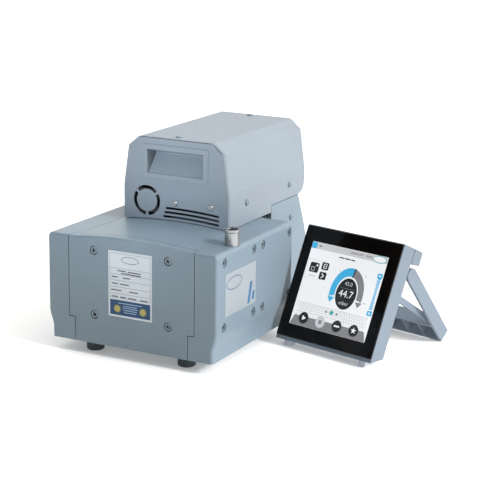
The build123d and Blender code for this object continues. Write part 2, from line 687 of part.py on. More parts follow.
def handle_cup():
    """Moulded recess: deep under its top edge, its floor sloping out to the lower edge."""
    y = HOOD_FRONT_Y
    gap = 0.2
    (x_low, x_high), (z_low, z_high) = CUP_X, CUP_Z
    rim = block((x_low - CUP_RIM, x_high + CUP_RIM), (y - CUP_RIM_T, y), (z_low - CUP_RIM, z_high + CUP_RIM))
    rim = fillet(rim.edges().filter_by(Axis.Y), 1.5)
    wall = prism_x(
        outline((y, z_low + gap), (y, z_high - gap), (y + CUP_DEPTH + CUP_WALL, z_high - gap),
                (y + CUP_DEPTH + CUP_WALL, z_high - 10), (y + PANEL_T + 3, z_low + gap)),
        x_low + gap, x_high - gap)
    hollow = prism_x(
        outline((y - 5, z_low + CUP_WALL), (y - 5, z_high - CUP_WALL), (y + CUP_DEPTH, z_high - CUP_WALL),
                (y + CUP_DEPTH, z_high - 9), (y + 1.5, z_low + CUP_WALL)),
        x_low + CUP_WALL, x_high - CUP_WALL)
    return rim + wall - hollow


def panel_screws():
    return group([Pos(x, HOOD_FRONT_Y, z) * Rot(90, 0, 0) * pan_screw() for x, z in PANEL_SCREWS])


def hood_screws():
    screws = [Pos(HOOD_TOP_SCREW_X, y, HOOD_TOP_Z) * pan_screw() for y in HOOD_TOP_SCREWS]
    for y in HOOD_SIDE_SCREWS:
        for side in (-1, 1):
            screws.append(Pos(side * REAR_HALF, y, HOOD_SIDE_SCREW_Z) * Rot(0, side * 90, 0) * pan_screw())
    return group(screws)


def rear_block_screws():
    y, z = rear_start() + REAR_SCREW[0], REAR_SCREW[1]
    return group([Pos(side * REAR_HALF, y, z) * Rot(0, side * 90, 0) * pan_screw(5.0) for side in (-1, 1)])


def rear_panel_y():
    return HOOD_FRONT_Y + HOOD_LENGTH - 5.0


def hood_rear_panel():
    """Connection panel, set into the rear end of the hood."""
    y = rear_panel_y()
    inset = HOOD_SHEET + 0.3
    panel = prism_y(hood_outline(REAR_TOP_Z + 14, inset), y, y + PANEL_T)
    x, z = C14_CENTRE
    wide, high = INLET_C14
    panel -= Pos(x, y, z) * Box(wide, 20, high)
    x, z = SWITCH_CENTRE
    wide, high = SWITCH_SIZE
    panel -= Pos(x, y, z) * Box(wide + 2, 20, high + 2)
    for x in SOCKET_X:
        panel -= rod("y", y - 5, y + 5, SOCKET_R, (x, SOCKET_Z))
    for index in range(9):
        x = -40 + 10 * index
        panel -= block((x - 2, x + 2), (y - 1, y + PANEL_T + 1), (214, 240))
    return panel


def power_inlet():
    """Three-pin mains inlet with its blades."""
    y = rear_panel_y()
    wide, high = INLET_C14[0] - 0.2, INLET_C14[1] - 0.2
    body = block((-wide / 2, wide / 2), (y - 18, y + PANEL_T), (-high / 2, high / 2))
    face_y = (y + PANEL_T, y + PANEL_T + 1.5)
    body += block((-wide / 2 - 2, wide / 2 + 2), face_y, (-high / 2 - 2, high / 2 + 2))
    body -= block((-12, 12), (y - 14, y + 5), (-8, 8))
    for x, z in ((-7, -3.2), (0, -0.2), (7, -3.2)):
        body += block((x - 1, x + 1), (y - 16, y), (z - 2, z + 2))
    return Pos(C14_CENTRE[0], 0, C14_CENTRE[1]) * body


def switch_frame():
    y = rear_panel_y()
    wide, high = SWITCH_SIZE
    outer_x, outer_z = wide / 2 + SWITCH_WALL, high / 2 + SWITCH_WALL
    frame = block((-outer_x, outer_x), (y - 12, y + PANEL_T), (-outer_z, outer_z))
    rim_x, rim_z = wide / 2 + 2.5, high / 2 + 2.5
    frame += block((-rim_x, rim_x), (y + PANEL_T, y + PANEL_T + 1.2), (-rim_z, rim_z))
    frame -= block((-wide / 2, wide / 2), (y - 10, y + 6), (-high / 2, high / 2))
    pivot_y = y + PANEL_T - SWITCH_PIVOT
    frame -= rod("x", -outer_x - 1, outer_x + 1, TRUNNION_R + RUN_GAP, (pivot_y, 0))
    return Pos(SWITCH_CENTRE[0], 0, SWITCH_CENTRE[1]) * frame


def switch_rocker():
    """Rocker, resting with its upper half pressed in; it tips about an axis along X."""
    y = rear_panel_y() + PANEL_T
    wide, high = SWITCH_SIZE[0] / 2 - 0.4, SWITCH_SIZE[1] / 2 - 0.7
    tip = outline((y - 6, 0), (y - 2, -high), (y + 1.2, -high), (y + 2.2, 0), (y + 1.2, high), (y - 2, high))
    rocker = prism_x(tip, -wide, wide)
    reach = SWITCH_SIZE[0] / 2 + SWITCH_WALL - 0.2
    rocker += rod("x", -reach, reach, TRUNNION_R, (y - SWITCH_PIVOT, 0))
    middle = Pos(0, y - SWITCH_PIVOT, 0)
    rocker = middle * Rot(SWITCH_TILT, 0, 0) * (middle.inverse() * rocker)
    return Pos(SWITCH_CENTRE[0], 0, SWITCH_CENTRE[1]) * rocker


def round_socket(y_face, x, z):
    """Round socket with its collar, opening towards +Y."""
    body = rod("y", y_face - 12, y_face + 6, SOCKET_R - 0.1, (x, z))
    body += rod("y", y_face, y_face + 2, SOCKET_R + 2.5, (x, z))
    return body - rod("y", y_face - 4, y_face + 7, SOCKET_R - 1.4, (x, z))


def control_sockets():
    face = rear_panel_y() + PANEL_T
    return group([round_socket(face, x, SOCKET_Z) for x in SOCKET_X])


def electronics_tray():
    """Folded tray that carries the drive electronics over both blocks."""
    low = REAR_TOP_Z + HOOD_CLEAR + 0.4
    start, end = HOOD_FRONT_Y + PANEL_T + 1, rear_panel_y() - 0.5
    half = REAR_HALF - HOOD_SHEET - 0.6
    tray = block((-half, half), (start, end), (low, low + 1.5))
    tray += block((-half, -half + 1.5), (start, end - 18), (low, low + 12))
    return tray + block((half - 1.5, half), (start, end - 18), (low, low + 12))


def tray_top():
    return REAR_TOP_Z + HOOD_CLEAR + 1.9


def drive_board():
    """Inverter board on four stand-offs, with its capacitors and chokes."""
    low = tray_top() + 6
    board = block((-58, 40), (150, 290), (low, low + 1.6))
    for x in (-52, 34):
        for y in (156, 284):
            board += rod("z", low - 6, low, 3.0, (x, y))
    for y in (180, 206, 232):
        board += rod("z", low + 1.6, low + 32, 10.0, (-42, y))
    board += block((-10, 24), (170, 200), (low + 1.6, low + 24))
    return board + block((-6, 20), (220, 246), (low + 1.6, low + 18))


def heat_sink():
    """Finned heat sink of the drive, standing along the right side of the tray."""
    low = tray_top()
    sink = block((46, 50), (150, 290), (low, low + 48))
    for index in range(7):
        z = low + 3 + 7 * index
        sink += block((50, 66), (150, 290), (z, z + 2))
    return sink


def small_fan_frame():
    y = HOOD_FRONT_Y + PANEL_T + 0.2
    x, z = RING_CENTRE
    half = FAN40 / 2 - 5.0
    frame = block((x - half, x + half), (y, y + FAN40_T), (z - half, z + half))
    half = FAN40 / 2 - 6.5
    frame -= rod("y", y - 1, y + FAN40_T - 1.5, half, (x, z))
    for turn in (45, 165, 285):
        frame -= arc_slot(8.0, half - 0.5, turn, 100, y + FAN40_T, RING_CENTRE, 4.0)
    return frame


def small_fan_rotor():
    y = HOOD_FRONT_Y + PANEL_T + 1.2
    x, z = RING_CENTRE
    wheel = rod("y", y, y + 6.5, 6.0)
    for index in range(7):
        blade = Pos(8.7, y + 3.2, 0) * Rot(35, 0, 0) * Box(7, 6.0, 1)
        wheel += Rot(0, 360 * index / 7, 0) * blade
    wheel &= rod("y", y, y + 6.5, 12.4)
    return Pos(x, 0, z) * wheel


# ---- controller, drawn in the panel's own frame: X across, Y into the case, Z up it ----
def case_profile(inset=0.0):
    """Side view of the case: the underside runs level with the table."""
    top = GLASS_H + 1.5 - inset
    front = GLASS_T + 0.2 + inset
    rear = CASE_DEPTH - inset
    return outline((front, -CHIN + inset), (front, top), (rear, top), (rear, CHIN_REAR_E + inset * 1.3))


def controller_case():
    half = CTRL_WIDTH / 2
    case = prism_x(case_profile(), -half, half)
    sides = case.edges().filter_by(Axis.Z).filter_by(lambda e: e.center().Y > CASE_DEPTH - 1)
    case = fillet(sides, 1.5)
    case -= prism_x(case_profile(CASE_SIDE), -half + CASE_SIDE, half - CASE_SIDE)
    case -= block((-half + 5, half - 5), (0, 6), (CASE_SIDE, GLASS_H - 3))
    inner = half - CASE_SIDE - 2
    case -= block((-inner, inner), (CASE_DEPTH - CASE_SIDE - 1, CASE_DEPTH + 1), (12, GLASS_H - 4))
    return case


def glass_panel():
    half = CTRL_WIDTH / 2 - 0.4
    sheet = block((-half, half), (0, GLASS_T), (0, GLASS_H))
    sheet = fillet(sheet.edges().filter_by(Axis.Y), 1.2)
    return chamfer(sheet.edges().group_by(Axis.Y)[0], 0.3)


def display_module():
    wide, high = LCD_SIZE
    low, top = LCD_CENTRE_E - high / 2, LCD_CENTRE_E + high / 2
    return block((-wide / 2, wide / 2), (GLASS_T + 0.1, GLASS_T + 0.1 + LCD_T), (low, top))


def controller_board():
    y = GLASS_T + LCD_T + 1.2
    board = block((-55, 55), (y, y + BOARD_T), (25, 118))
    board += block((-40, -16), (y + BOARD_T, y + 4), (60, 84))
    board += block((10, 28), (y + BOARD_T, y + 3.6), (70, 96))
    return board + block((-48, 30), (y + BOARD_T, y + 4), (28, 38))


def back_cover():
    """Back with the deep recess for the folded stand, the hinge ears and the catch."""
    half = CTRL_WIDTH / 2 - CASE_SIDE - 2.3
    rear = CASE_DEPTH
    cover = block((-half, half), (RECESS_N - 2, rear), (12.3, GLASS_H - 4.3))
    cover -= block((-half - 1, -half + 2), (RECESS_N - 3, rear - CASE_SIDE - 1), (10, GLASS_H))
    cover -= block((half - 2, half + 1), (RECESS_N - 3, rear - CASE_SIDE - 1), (10, GLASS_H))
    cover -= block((-half + 3.0, half - 3.0), (RECESS_N, rear + 1), (15, HUMP_E - 3))
    cover -= block((-half + 3, half - 3), (RECESS_N - 3, rear - 2), (HUMP_E, GLASS_H))
    ear_y = rear + LEG_GAP + LEG_THICK / 2
    for side in (-1, 1):
        x_low, x_high = side * EAR_X - EAR_T / 2, side * EAR_X + EAR_T / 2
        ear = block((x_low, x_high), (RECESS_N - 1, ear_y), (LEG_PIVOT_E - EAR_R + 0.5, HUMP_E - 2))
        ear += rod("x", x_low, x_high, EAR_R, (ear_y, LEG_PIVOT_E))
        ear -= rod("x", x_low - 1, x_high + 1, PIN_R + THREAD_GAP, (ear_y, LEG_PIVOT_E))
        cover += ear
        catch_x = (side * CATCH_X - CATCH_HALF, side * CATCH_X + CATCH_HALF)
        catch_e = (STRUT_TIP[1] - CATCH_H, STRUT_TIP[1] - CATCH_H + CATCH_TALL)
        cover += block(catch_x, (RECESS_N - 1, STRUT_TIP[0] + 3), catch_e)
    return cover


def rear_hump():
    """Upper rear housing of the sockets; the folded stand lies flush with it."""
    half = CTRL_WIDTH / 2
    hump = block((-half, half), (CASE_DEPTH + 0.1, CASE_DEPTH + HUMP_DEPTH), (HUMP_E, GLASS_H + 1.5))
    hump = fillet(hump.edges().filter_by(Axis.X).group_by(Axis.Y)[-1], 2.5)
    inner_y = (CASE_DEPTH - 1, CASE_DEPTH + HUMP_DEPTH - 3)
    hump -= block((-half + 3, half - 3), inner_y, (HUMP_E + 3, GLASS_H - 1.5))
    for x in PLUG_X:
        hump -= rod("z", HUMP_E - 1, HUMP_E + 4, PLUG_R + 0.1, (x, CASE_DEPTH + 9))
    return hump


def hump_sockets():
    """Small round sockets that open downwards, out of the hump."""
    sockets = []
    for x in PLUG_X:
        body = rod("z", HUMP_E - 1.5, HUMP_E + 12, PLUG_R, (x, CASE_DEPTH + 9))
        sockets.append(body - rod("z", HUMP_E - 2, HUMP_E + 7, PLUG_BORE_R, (x, CASE_DEPTH + 9)))
    return group(sockets)


def front_pads():
    """Rubber pads under the chin, their feet level with the table."""
    tilt = radians(CTRL_TILT)
    pads = []
    for x in (-FRONT_PAD_X, FRONT_PAD_X):
        pad = block((x - PAD_WIDE / 2, x + PAD_WIDE / 2), (8, 8 + PAD_DEEP), (-40, 10))
        under = prism_x(case_profile(), x - 10, x + 10)
        floor_e = -GLASS_Z / cos(tilt)
        slope = sin(tilt) / cos(tilt)
        far = 60.0
        below = outline((-far, floor_e - far * slope), (far, floor_e + far * slope), (far, -99), (-far, -99))
        pads.append(pad - under - prism_x(below, x - 10, x + 10) - block((x - 10, x + 10), (0, 40), (5, 20)))
    return group(pads)


# ---- stand, drawn folded against the back, then opened about the leg's pivot -------------
def leg_pivot():
    return CASE_DEPTH + LEG_GAP + LEG_THICK / 2, LEG_PIVOT_E


def leg_length():
    """Length below the pivot at which the opened leg's inner corner stands on the table."""
    y_mid, top = leg_pivot()
    tilt, lean = radians(CTRL_TILT), radians(LEG_FOLD - CTRL_TILT)
    height = GLASS_Z + top * cos(tilt) - y_mid * sin(tilt) - LEG_THICK / 2 * sin(lean)
    return height / cos(lean) - LEG_PAD_T


def stand_leg():
    """U-frame with two flat arms and a ribbed crossbar, open towards the case."""
    y_mid, top = leg_pivot()
    low_y, high_y = y_mid - LEG_THICK / 2, y_mid + LEG_THICK / 2
    end = top - leg_length()
    half = CTRL_WIDTH / 2
    leg = None
    for side in (-1, 1):
        x_low, x_high = sorted((side * (half - LEG_ARM_T), side * half))
        arm = block((x_low, x_high), (low_y, high_y), (end, top))
        arm += rod("x", x_low, x_high, LEG_THICK / 2, (y_mid, top))
        arm -= rod("x", x_low - 1, x_high + 1, PIN_R + RUN_GAP, (y_mid, top))
        leg = arm if leg is None else leg + arm
    bar_top = top - LEG_BAR_U
    inner = half - LEG_ARM_T + 0.5
    leg += block((-inner, inner), (high_y - LEG_SKIN, high_y), (end, bar_top))
    leg += block((-inner, inner), (low_y, high_y), (bar_top - LEG_SKIN, bar_top))
    leg += block((-inner, inner), (low_y, high_y), (end, end + LEG_SKIN))
    for index in range(1, 6):
        x = -inner + index * inner / 3
        leg += block((x - 0.9, x + 0.9), (low_y + 1, high_y), (end, bar_top))
    for index in (0.5, 2.5, 4.5):
        x = -inner + (index + 0.5) * inner / 3
        leg -= block((x - 8, x + 8), (high_y - LEG_SKIN - 1, high_y + 1), (bar_top - 13, bar_top - 8))
    for side in (-1, 1):
        spot = strut_root()
        x_low, x_high = sorted((side * (half - LEG_ARM_T - 1), side * (half + 1)))
        leg -= rod("x", x_low, x_high, STRUT_PIN_R + THREAD_GAP, spot)
    return leg


def strut_root():
    """Lower pivot of the strut, inside the leg's frame, in the folded state."""
    y_mid, top = leg_pivot()
    return y_mid - LEG_THICK / 2 + STRUT_Y, top - STRUT_U


def turned(y, z, angle, about):
    """Turn a point about an axis along X."""
    dy, dz = y - about[0], z - about[1]
    a = radians(angle)
    return about[0] + dy * cos(a) - dz * sin(a), about[1] + dy * sin(a) + dz * cos(a)


def strut_shape():
    """Length of the strut and its angle to the leg when the stand is open."""
    root = turned(*strut_root(), LEG_FOLD, leg_pivot())
    dy, dz = STRUT_TIP[0] - root[0], STRUT_TIP[1] - root[1]
    return hypot(dy, dz), degrees(atan2(-dy, dz)) - LEG_FOLD


def stand_strut():
    """Bail: two flat bars joined by a round cross rod that rests on the catches."""
    length, lean = strut_shape()
    y, z = strut_root()
    bail = None
    for side in (-1, 1):
        x_low, x_high = sorted((side * STRUT_X[0], side * STRUT_X[1]))
        bar = block((x_low, x_high), (y - STRUT_HALF, y + STRUT_HALF), (z, z + length))
        bar += rod("x", x_low, x_high, STRUT_HALF, (y, z))
        bar += rod("x", x_low, x_high, STRUT_HALF, (y, z + length))
        bar -= rod("x", x_low - 1, x_high + 1, STRUT_PIN_R + RUN_GAP, (y, z))
        bail = bar if bail is None else bail + bar
    bail += rod("x", -STRUT_X[0] - 1, STRUT_X[0] + 1, STRUT_ROD_R, (y, z + length))
    at_root = Pos(0, y, z)
    return at_root * Rot(lean, 0, 0) * (at_root.inverse() * bail)


def hinge_pins():
    """Two pins through the leg's arms into the ears of the back cover."""
    y, z = leg_pivot()
    half = CTRL_WIDTH / 2
    inner = EAR_X - EAR_T / 2
    return group([rod("x", *sorted((side * inner, side * half)), PIN_R, (y, z)) for side in (-1, 1)])


def strut_pins():
    """Two short pins that hold the strut between the leg's arms."""
    y, z = strut_root()
    outer = CTRL_WIDTH / 2 - 0.2
    ends = [sorted((side * STRUT_X[0], side * outer)) for side in (-1, 1)]
    return group([rod("x", low, high, STRUT_PIN_R, (y, z)) for low, high in ends])


def opened(shape):
    """Swing a folded stand part open about the leg's pivot."""
    y, z = leg_pivot()
    at = Pos(0, y, z)
    return at * Rot(LEG_FOLD, 0, 0) * (at.inverse() * shape)


def leg_pads():
    """Rubber strip on the edge that stands on the table."""
    y_mid, top = leg_pivot()
    end = top - leg_length()
    low_y = y_mid - LEG_THICK / 2
    middle = CTRL_WIDTH / 2 - 10
    along = (end - LEG_PAD_T, end)
    return group([block((x - 9, x + 9), (low_y, low_y + 8), along) for x in (-middle, middle)])


def on_table(shape):
    """Place a controller piece from the panel's frame into the pump's frame."""
    tilted = Pos(0, 0, GLASS_Z) * Rot(-CTRL_TILT, 0, 0) * shape
    return Pos(*CTRL_AT, 0) * Rot(0, 0, CTRL_YAW) * tilted


# ---- all parts --------------------------------------------------------------------
def pump_parts():
    inlet = (INLET_X, INLET_Y, INLET_BARREL_R - 1.0)
    outlet = (-OUTLET_X, OUTLET_Y, OUTLET_R - 3.0)
    return {
        "crankcase": crankcase(),
        "base_plate": base_plate(),
        "front_cover": front_cover(),
        "right_side_cover": side_cover(*inlet),
        "left_side_cover": flip(side_cover(*outlet)),
        "top_deck": top_deck(),
        "front_screws": front_screws(),
        "right_side_screws": side_screws(),
        "left_side_screws": flip(side_screws()),
        "rating_plate": rating_plate(),
        "side_label": side_label(),
        "feet": feet(),
        "inlet_flange": inlet_flange(),
        "outlet_silencer": outlet_silencer(),
        "right_pump_head": pump_head(ROD_Y[1], *inlet),
        "left_pump_head": flip(pump_head(ROD_Y[0], *outlet)),
        "right_diaphragms": group([diaphragm(y) for y in ROD_Y[1]]),
        "left_diaphragms": flip(group([diaphragm(y) for y in ROD_Y[0]])),
        "right_rods": group([piston_rod(y) for y in ROD_Y[1]]),
        "left_rods": flip(group([piston_rod(y) for y in ROD_Y[0]])),
        "bearings": bearings(),
        "crankshaft": crankshaft(),
        "counterweights": counterweights(),
        "motor_housing": motor_housing(),
        "intake_guard": intake_guard(),
        "motor_stator": stator(),
        "motor_rotor": rotor(),
        "cooling_fan": cooling_fan(),
        "fan_grille": fan_grille(),
        "rear_block_screws": rear_block_screws(),
    }


def hood_parts():
    return {
        "hood_shell": hood_shell(),
        "hood_front_panel": hood_front_panel(),
        "handle_cup": handle_cup(),
        "panel_screws": panel_screws(),
        "hood_screws": hood_screws(),
        "hood_rear_panel": hood_rear_panel(),
        "power_inlet": power_inlet(),
        "switch_frame": switch_frame(),
        "switch_rocker": switch_rocker(),
        "control_sockets": control_sockets(),
        "electronics_tray": electronics_tray(),
        "drive_board": drive_board(),
        "heat_sink": heat_sink(),
        "small_fan_frame": small_fan_frame(),
        "small_fan_rotor": small_fan_rotor(),
    }


def controller_parts():
    still = {
        "controller_case": controller_case(),
        "glass_panel": glass_panel(),
        "display_module": display_module(),
        "controller_board": controller_board(),
        "back_cover": back_cover(),
        "rear_hump": rear_hump(),
        "hump_sockets": hump_sockets(),
        "front_pads": front_pads(),
        "hinge_pins": hinge_pins(),
    }
    stand = {
        "stand_leg": stand_leg(),
        "leg_pads": leg_pads(),
        "strut_pins": strut_pins(),
        "stand_strut": stand_strut(),
    }
    still.update({name: opened(shape) for name, shape in stand.items()})
    return {name: on_table(shape) for name, shape in still.items()}


def write_all(parts):
    """Move the origin to the middle of the set's footprint and write one file per node."""
    boxes = [shape.bounding_box() for shape in parts.values()]
    middle = [
        (min(box.min.X for box in boxes) + max(box.max.X for box in boxes)) / 2,
        (min(box.min.Y for box in boxes) + max(box.max.Y for box in boxes)) / 2,
    ]
    for name, shape in parts.items():
        placed = Pos(-middle[0], -middle[1], 0) * shape
        placed.label = name
        export_step(placed, f"parts/{name}.step")
    print("origin in the pump's frame:", [round(value, 3) for value in middle])


os.makedirs("parts", exist_ok=True)
write_all({**pump_parts(), **hood_parts(), **controller_parts()})
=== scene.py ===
# %% [markdown]
# # A laboratory vacuum pump and its touch controller
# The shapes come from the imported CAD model, which is loaded first and never moved. Blender
# adds what CAD doesn't hold: paint, metal, rubber and glass, the printed plates, the lit
# screen, the studio light and the camera. The box of the CAD model is kept, so that the
# finished model can be measured against it.

# %% Load the frame
import json
import math

import bmesh
import bpy
from mathutils import Matrix, Vector


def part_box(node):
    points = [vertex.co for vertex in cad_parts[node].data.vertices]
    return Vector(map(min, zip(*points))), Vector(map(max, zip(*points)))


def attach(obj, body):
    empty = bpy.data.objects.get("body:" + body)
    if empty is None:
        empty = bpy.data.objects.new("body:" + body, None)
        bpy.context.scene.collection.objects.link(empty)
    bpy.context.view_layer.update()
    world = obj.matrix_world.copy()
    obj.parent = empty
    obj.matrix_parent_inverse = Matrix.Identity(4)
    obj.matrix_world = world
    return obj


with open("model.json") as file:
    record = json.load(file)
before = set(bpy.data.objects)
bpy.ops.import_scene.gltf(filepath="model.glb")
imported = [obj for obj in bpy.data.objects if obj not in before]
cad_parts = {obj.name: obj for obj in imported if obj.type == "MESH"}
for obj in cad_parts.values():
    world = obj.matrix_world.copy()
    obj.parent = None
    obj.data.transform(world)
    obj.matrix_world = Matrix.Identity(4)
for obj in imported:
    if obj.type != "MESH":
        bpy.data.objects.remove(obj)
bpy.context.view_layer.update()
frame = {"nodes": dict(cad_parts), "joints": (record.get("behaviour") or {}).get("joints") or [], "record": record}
MM = 0.001

# %% [markdown]
# ## Places to work in
# A printed plate or a screen is flat, so its figures are easiest to draw in its own frame:
# across, inward and up, in millimetres. Each frame is read from the CAD model, not typed
# in: a plate's from the box of the plate, the screen's from the hinge of the stand. The
# other way would be to draw in the room's axes and turn every point by hand.

# %% Local frames and the frame of the screen
CONTROLLER_TILT = math.radians(24.5)
PIVOT_INWARD = 37.65
PIVOT_UP = 117.0


def local_frame(origin, across, inward, up):
    """Matrix that places a drawing made in millimetres."""
    columns = [Vector(axis).normalized() * MM for axis in (across, inward, up)]
    matrix = Matrix([[column[row] for column in columns] + [origin[row]] for row in range(3)])
    matrix.resize_4x4()
    return matrix


ACROSS, INWARD, UPWARD = (1, 0, 0), (0, 1, 0), (0, 0, 1)


def front_frame(low, high, level):
    """Frame on the front face of a box, half way across it and at this height."""
    return local_frame(((low.x + high.x) / 2, low.y, level), ACROSS, INWARD, UPWARD)


hinge = next(joint for joint in frame["joints"] if joint["name"] == "stand_fold")
screen_across = Vector(hinge["axis"]).normalized()
level_back = Vector((0, 0, 1)).cross(screen_across)
sine, cosine = math.sin(CONTROLLER_TILT), math.cos(CONTROLLER_TILT)
screen_inward = level_back * cosine - Vector((0, 0, sine))
screen_up = level_back * sine + Vector((0, 0, cosine))
glass_zero = Vector(hinge["pos_m"]) - MM * (PIVOT_INWARD * screen_inward + PIVOT_UP * screen_up)
screen_frame = local_frame(glass_zero, screen_across, screen_inward, screen_up)
print("lower edge of the glass:", glass_zero)

# %% [markdown]
# ## Camera and studio
# The set is seen from the right and a little above, through a long lens, so its edges run
# almost parallel. A long lens stands far away and keeps the box of the pump from looking
# stretched. The camera is built from its heading, its dip and a small roll.

# %% Camera
CAMERA_AT = (0.8621, -1.7315, 0.6230)
HEADING = math.radians(27.0)
DIP = math.radians(14.64)
ROLL = math.radians(0.91)
LENS = 110.6
SIGHT = 400.0


def aim(heading, dip, roll):
    """Rotation of a camera that looks along heading, tilted down by dip."""
    level = Vector((math.cos(heading), math.sin(heading), 0))
    ahead = Vector((-math.sin(heading), math.cos(heading), 0))
    view = math.cos(dip) * ahead - Vector((0, 0, math.sin(dip)))
    above = level.cross(view)
    right = math.cos(roll) * level + math.sin(roll) * above
    up = math.cos(roll) * above - math.sin(roll) * level
    return Matrix([[right[row], up[row], -view[row]] for row in range(3)]).to_4x4()


scene = bpy.context.scene
camera = bpy.data.objects.new("camera", bpy.data.cameras.new("camera"))
camera.matrix_world = Matrix.Translation(CAMERA_AT) @ aim(HEADING, DIP, ROLL)
camera.data.lens = LENS
camera.data.clip_end = SIGHT
scene.collection.objects.link(camera)
scene.camera = camera
scene.view_settings.view_transform = "Standard"
print("camera at", CAMERA_AT, "lens", LENS)

# %% [markdown]
# ## A small language for shaders
# A finish is a chain of nodes. Written as node calls, the arithmetic in it is hard to read,
# so a wire out of a node is wrapped in a class that knows plus, minus and times. Then
# `0.4 + 0.1 * grain` adds the Math nodes itself. Every other node comes from one method.


# %% Wires
class Wire:
    """One output socket. Arithmetic on it adds Math nodes."""

    def __init__(self, finish, socket):
        self.finish = finish
        self.socket = socket

    def math(self, operation, first, second):
        settings = {"operation": operation}
        return self.finish.node("ShaderNodeMath", settings, {0: first, 1: second})

    def __add__(self, other):
        return self.math("ADD", self, other)

    def __sub__(self, other):
        return self.math("SUBTRACT", self, other)

    def __rsub__(self, other):
        return self.math("SUBTRACT", other, self)

    def __mul__(self, other):
        return self.math("MULTIPLY", self, other)

    def __gt__(self, other):
        return self.math("GREATER_THAN", self, other)

    __radd__ = __add__
    __rmul__ = __mul__


print("a wire can be added, subtracted, multiplied and compared")


# %% [markdown]
# ## A finish
# A finish is one material round one Principled shader. Plain values go straight to its
# sockets, and everything that varies over the surface is fed in as a wire. Patterns are
# placed by the position on the piece, so they need no unwrapping and ride with the piece.


# %% Finish
class Finish:
    """A material around one Principled shader. Uniform values are set on its sockets."""

    def __init__(self, name, uniform):
        self.material = bpy.data.materials.new(name)
        self.material.use_nodes = True
        self.tree = self.material.node_tree
        self.shader = self.tree.nodes["Principled BSDF"]
        for socket, value in uniform.items():
            self.shader.inputs[socket].default_value = value

    def fill(self, target, value):
        if isinstance(value, Wire):
            self.tree.links.new(value.socket, target)
        else:
            target.default_value = value

    def node(self, kind, settings=None, inputs=None, out=0):
        """Any node: its settings first, then the values or wires of its sockets."""
        made = self.tree.nodes.new(kind)
        for key, value in (settings or {}).items():
            if key == "stops":
                set_stops(made.color_ramp, value)
            else:
                setattr(made, key, value)
        for key, value in (inputs or {}).items():
            self.fill(made.inputs[key], value)
        return Wire(self, made.outputs[out])

    def feed(self, socket, wire):
        self.fill(self.shader.inputs[socket], wire)

    def place(self):
        """Position on the piece, in metres. It rides with the piece."""
        return self.node("ShaderNodeTexCoord", out="Object")

    def grain(self, size_mm, detail=2.0, roughness=0.5):
        """Noise from 0 to 1 with lumps of about this size."""
        inputs = {"Vector": self.place(), "Scale": 1 / (MM * size_mm), "Detail": detail,
                  "Roughness": roughness}
        return self.node("ShaderNodeTexNoise", {}, inputs, "Fac")

    def ramp(self, factor, stops):
        return self.node("ShaderNodeValToRGB", {"stops": stops}, {"Fac": factor})

    def blend(self, factor, first, second):
        inputs = {"Factor": factor, 6: first, 7: second}
        return self.node("ShaderNodeMix", {"data_type": "RGBA"}, inputs, 2)

    def bump(self, height, depth_mm, strength=1.0, normal=None):
        inputs = {"Height": height, "Distance": depth_mm * MM, "Strength": strength}
        if normal is not None:
            inputs["Normal"] = normal
        return self.node("ShaderNodeBump", {}, inputs)


print("a finish has these nodes ready: place, grain, ramp, blend and bump")


# %% [markdown]
# ## Tones of a colour
# No real surface has one flat colour. Most finishes here drift between two close tones of
# their colour, so the two stops of that ramp come from one helper.

# %% Tones
DRIFT_LOW, DRIFT_HIGH = 0.3, 0.7


def set_stops(ramp, stops):
    """Colour stops as (place, colour) pairs."""
    while len(ramp.elements) > len(stops):
        ramp.elements.remove(ramp.elements[-1])
    while len(ramp.elements) < len(stops):
        ramp.elements.new(1.0)
    for element, (at, colour) in zip(ramp.elements, stops):
        element.position = at
        element.color = colour


def shade(colour, factor):
    """The same colour, lighter or darker, with alpha 1."""
    return (*[min(1.0, channel * factor) for channel in colour[:3]], 1.0)


def two_tones(colour, dark, light):
    """Stops of a ramp that drifts from a darker to a lighter tone of one colour."""
    return [(DRIFT_LOW, shade(colour, dark)), (DRIFT_HIGH, shade(colour, light))]


print("a drifting grey:", two_tones((0.5, 0.5, 0.5), 0.95, 1.05))


# %% [markdown]
# ## Sheet-metal paint
# The covers are lacquered metal. Three things make lacquer look real: a slow drift in tone
# from one panel to the next, the fine ripple called orange peel, and slightly rounded edges
# that catch light. Along every edge the colour is also painted a little paler. Part of that
# is wear where handling has polished it, and part is a painted highlight. A bevel node rounds
# the edges in the shading, which costs no geometry, and the difference between its normal and
# the true one marks the edges.


# %% Paint
def edge_mask(finish, rounded):
    """1 near an edge and 0 on flat ground."""
    true_normal = finish.node("ShaderNodeNewGeometry", out="True Normal")
    agreement = finish.node(
        "ShaderNodeVectorMath", {"operation": "DOT_PRODUCT"}, {0: rounded, 1: true_normal}, "Value")
    inputs = {"Value": 1.0 - agreement, "From Min": 0.01, "From Max": 0.12}
    return finish.node("ShaderNodeMapRange", {}, inputs)


def painted(name, colour, peel_mm, peel_depth, gloss, edge_mm=0.7):
    """Lacquer or powder coat over sheet metal."""
    finish = Finish(name, {"Coat Roughness": 0.25, "Specular IOR Level": 0.45})
    rounded = finish.node("ShaderNodeBevel", {"samples": 4}, {"Radius": edge_mm * MM})
    edges = edge_mask(finish, rounded)
    drift = finish.grain(70.0, 1.0)
    specks = finish.grain(0.9, 3.0)
    tone = finish.ramp(drift, two_tones(colour, 0.965, 1.03))
    dusted = finish.blend(specks * 0.10, tone, shade(colour, 0.88))
    scuffs = finish.grain(9.0, 4.0)
    # Edges painted paler: partly wear from handling, partly a painted highlight where rounded edges catch light.
    highlight_and_wear = edges * (0.18 + 0.5 * scuffs)
    finish.feed("Base Color", finish.blend(highlight_and_wear, dusted, shade(colour, 1.32)))
    finish.feed("Roughness", gloss + 0.10 * drift + 0.06 * scuffs)
    peel = finish.grain(peel_mm, 2.0)
    finish.feed("Normal", finish.bump(peel, peel_depth, 1.0, rounded))
    return finish.material


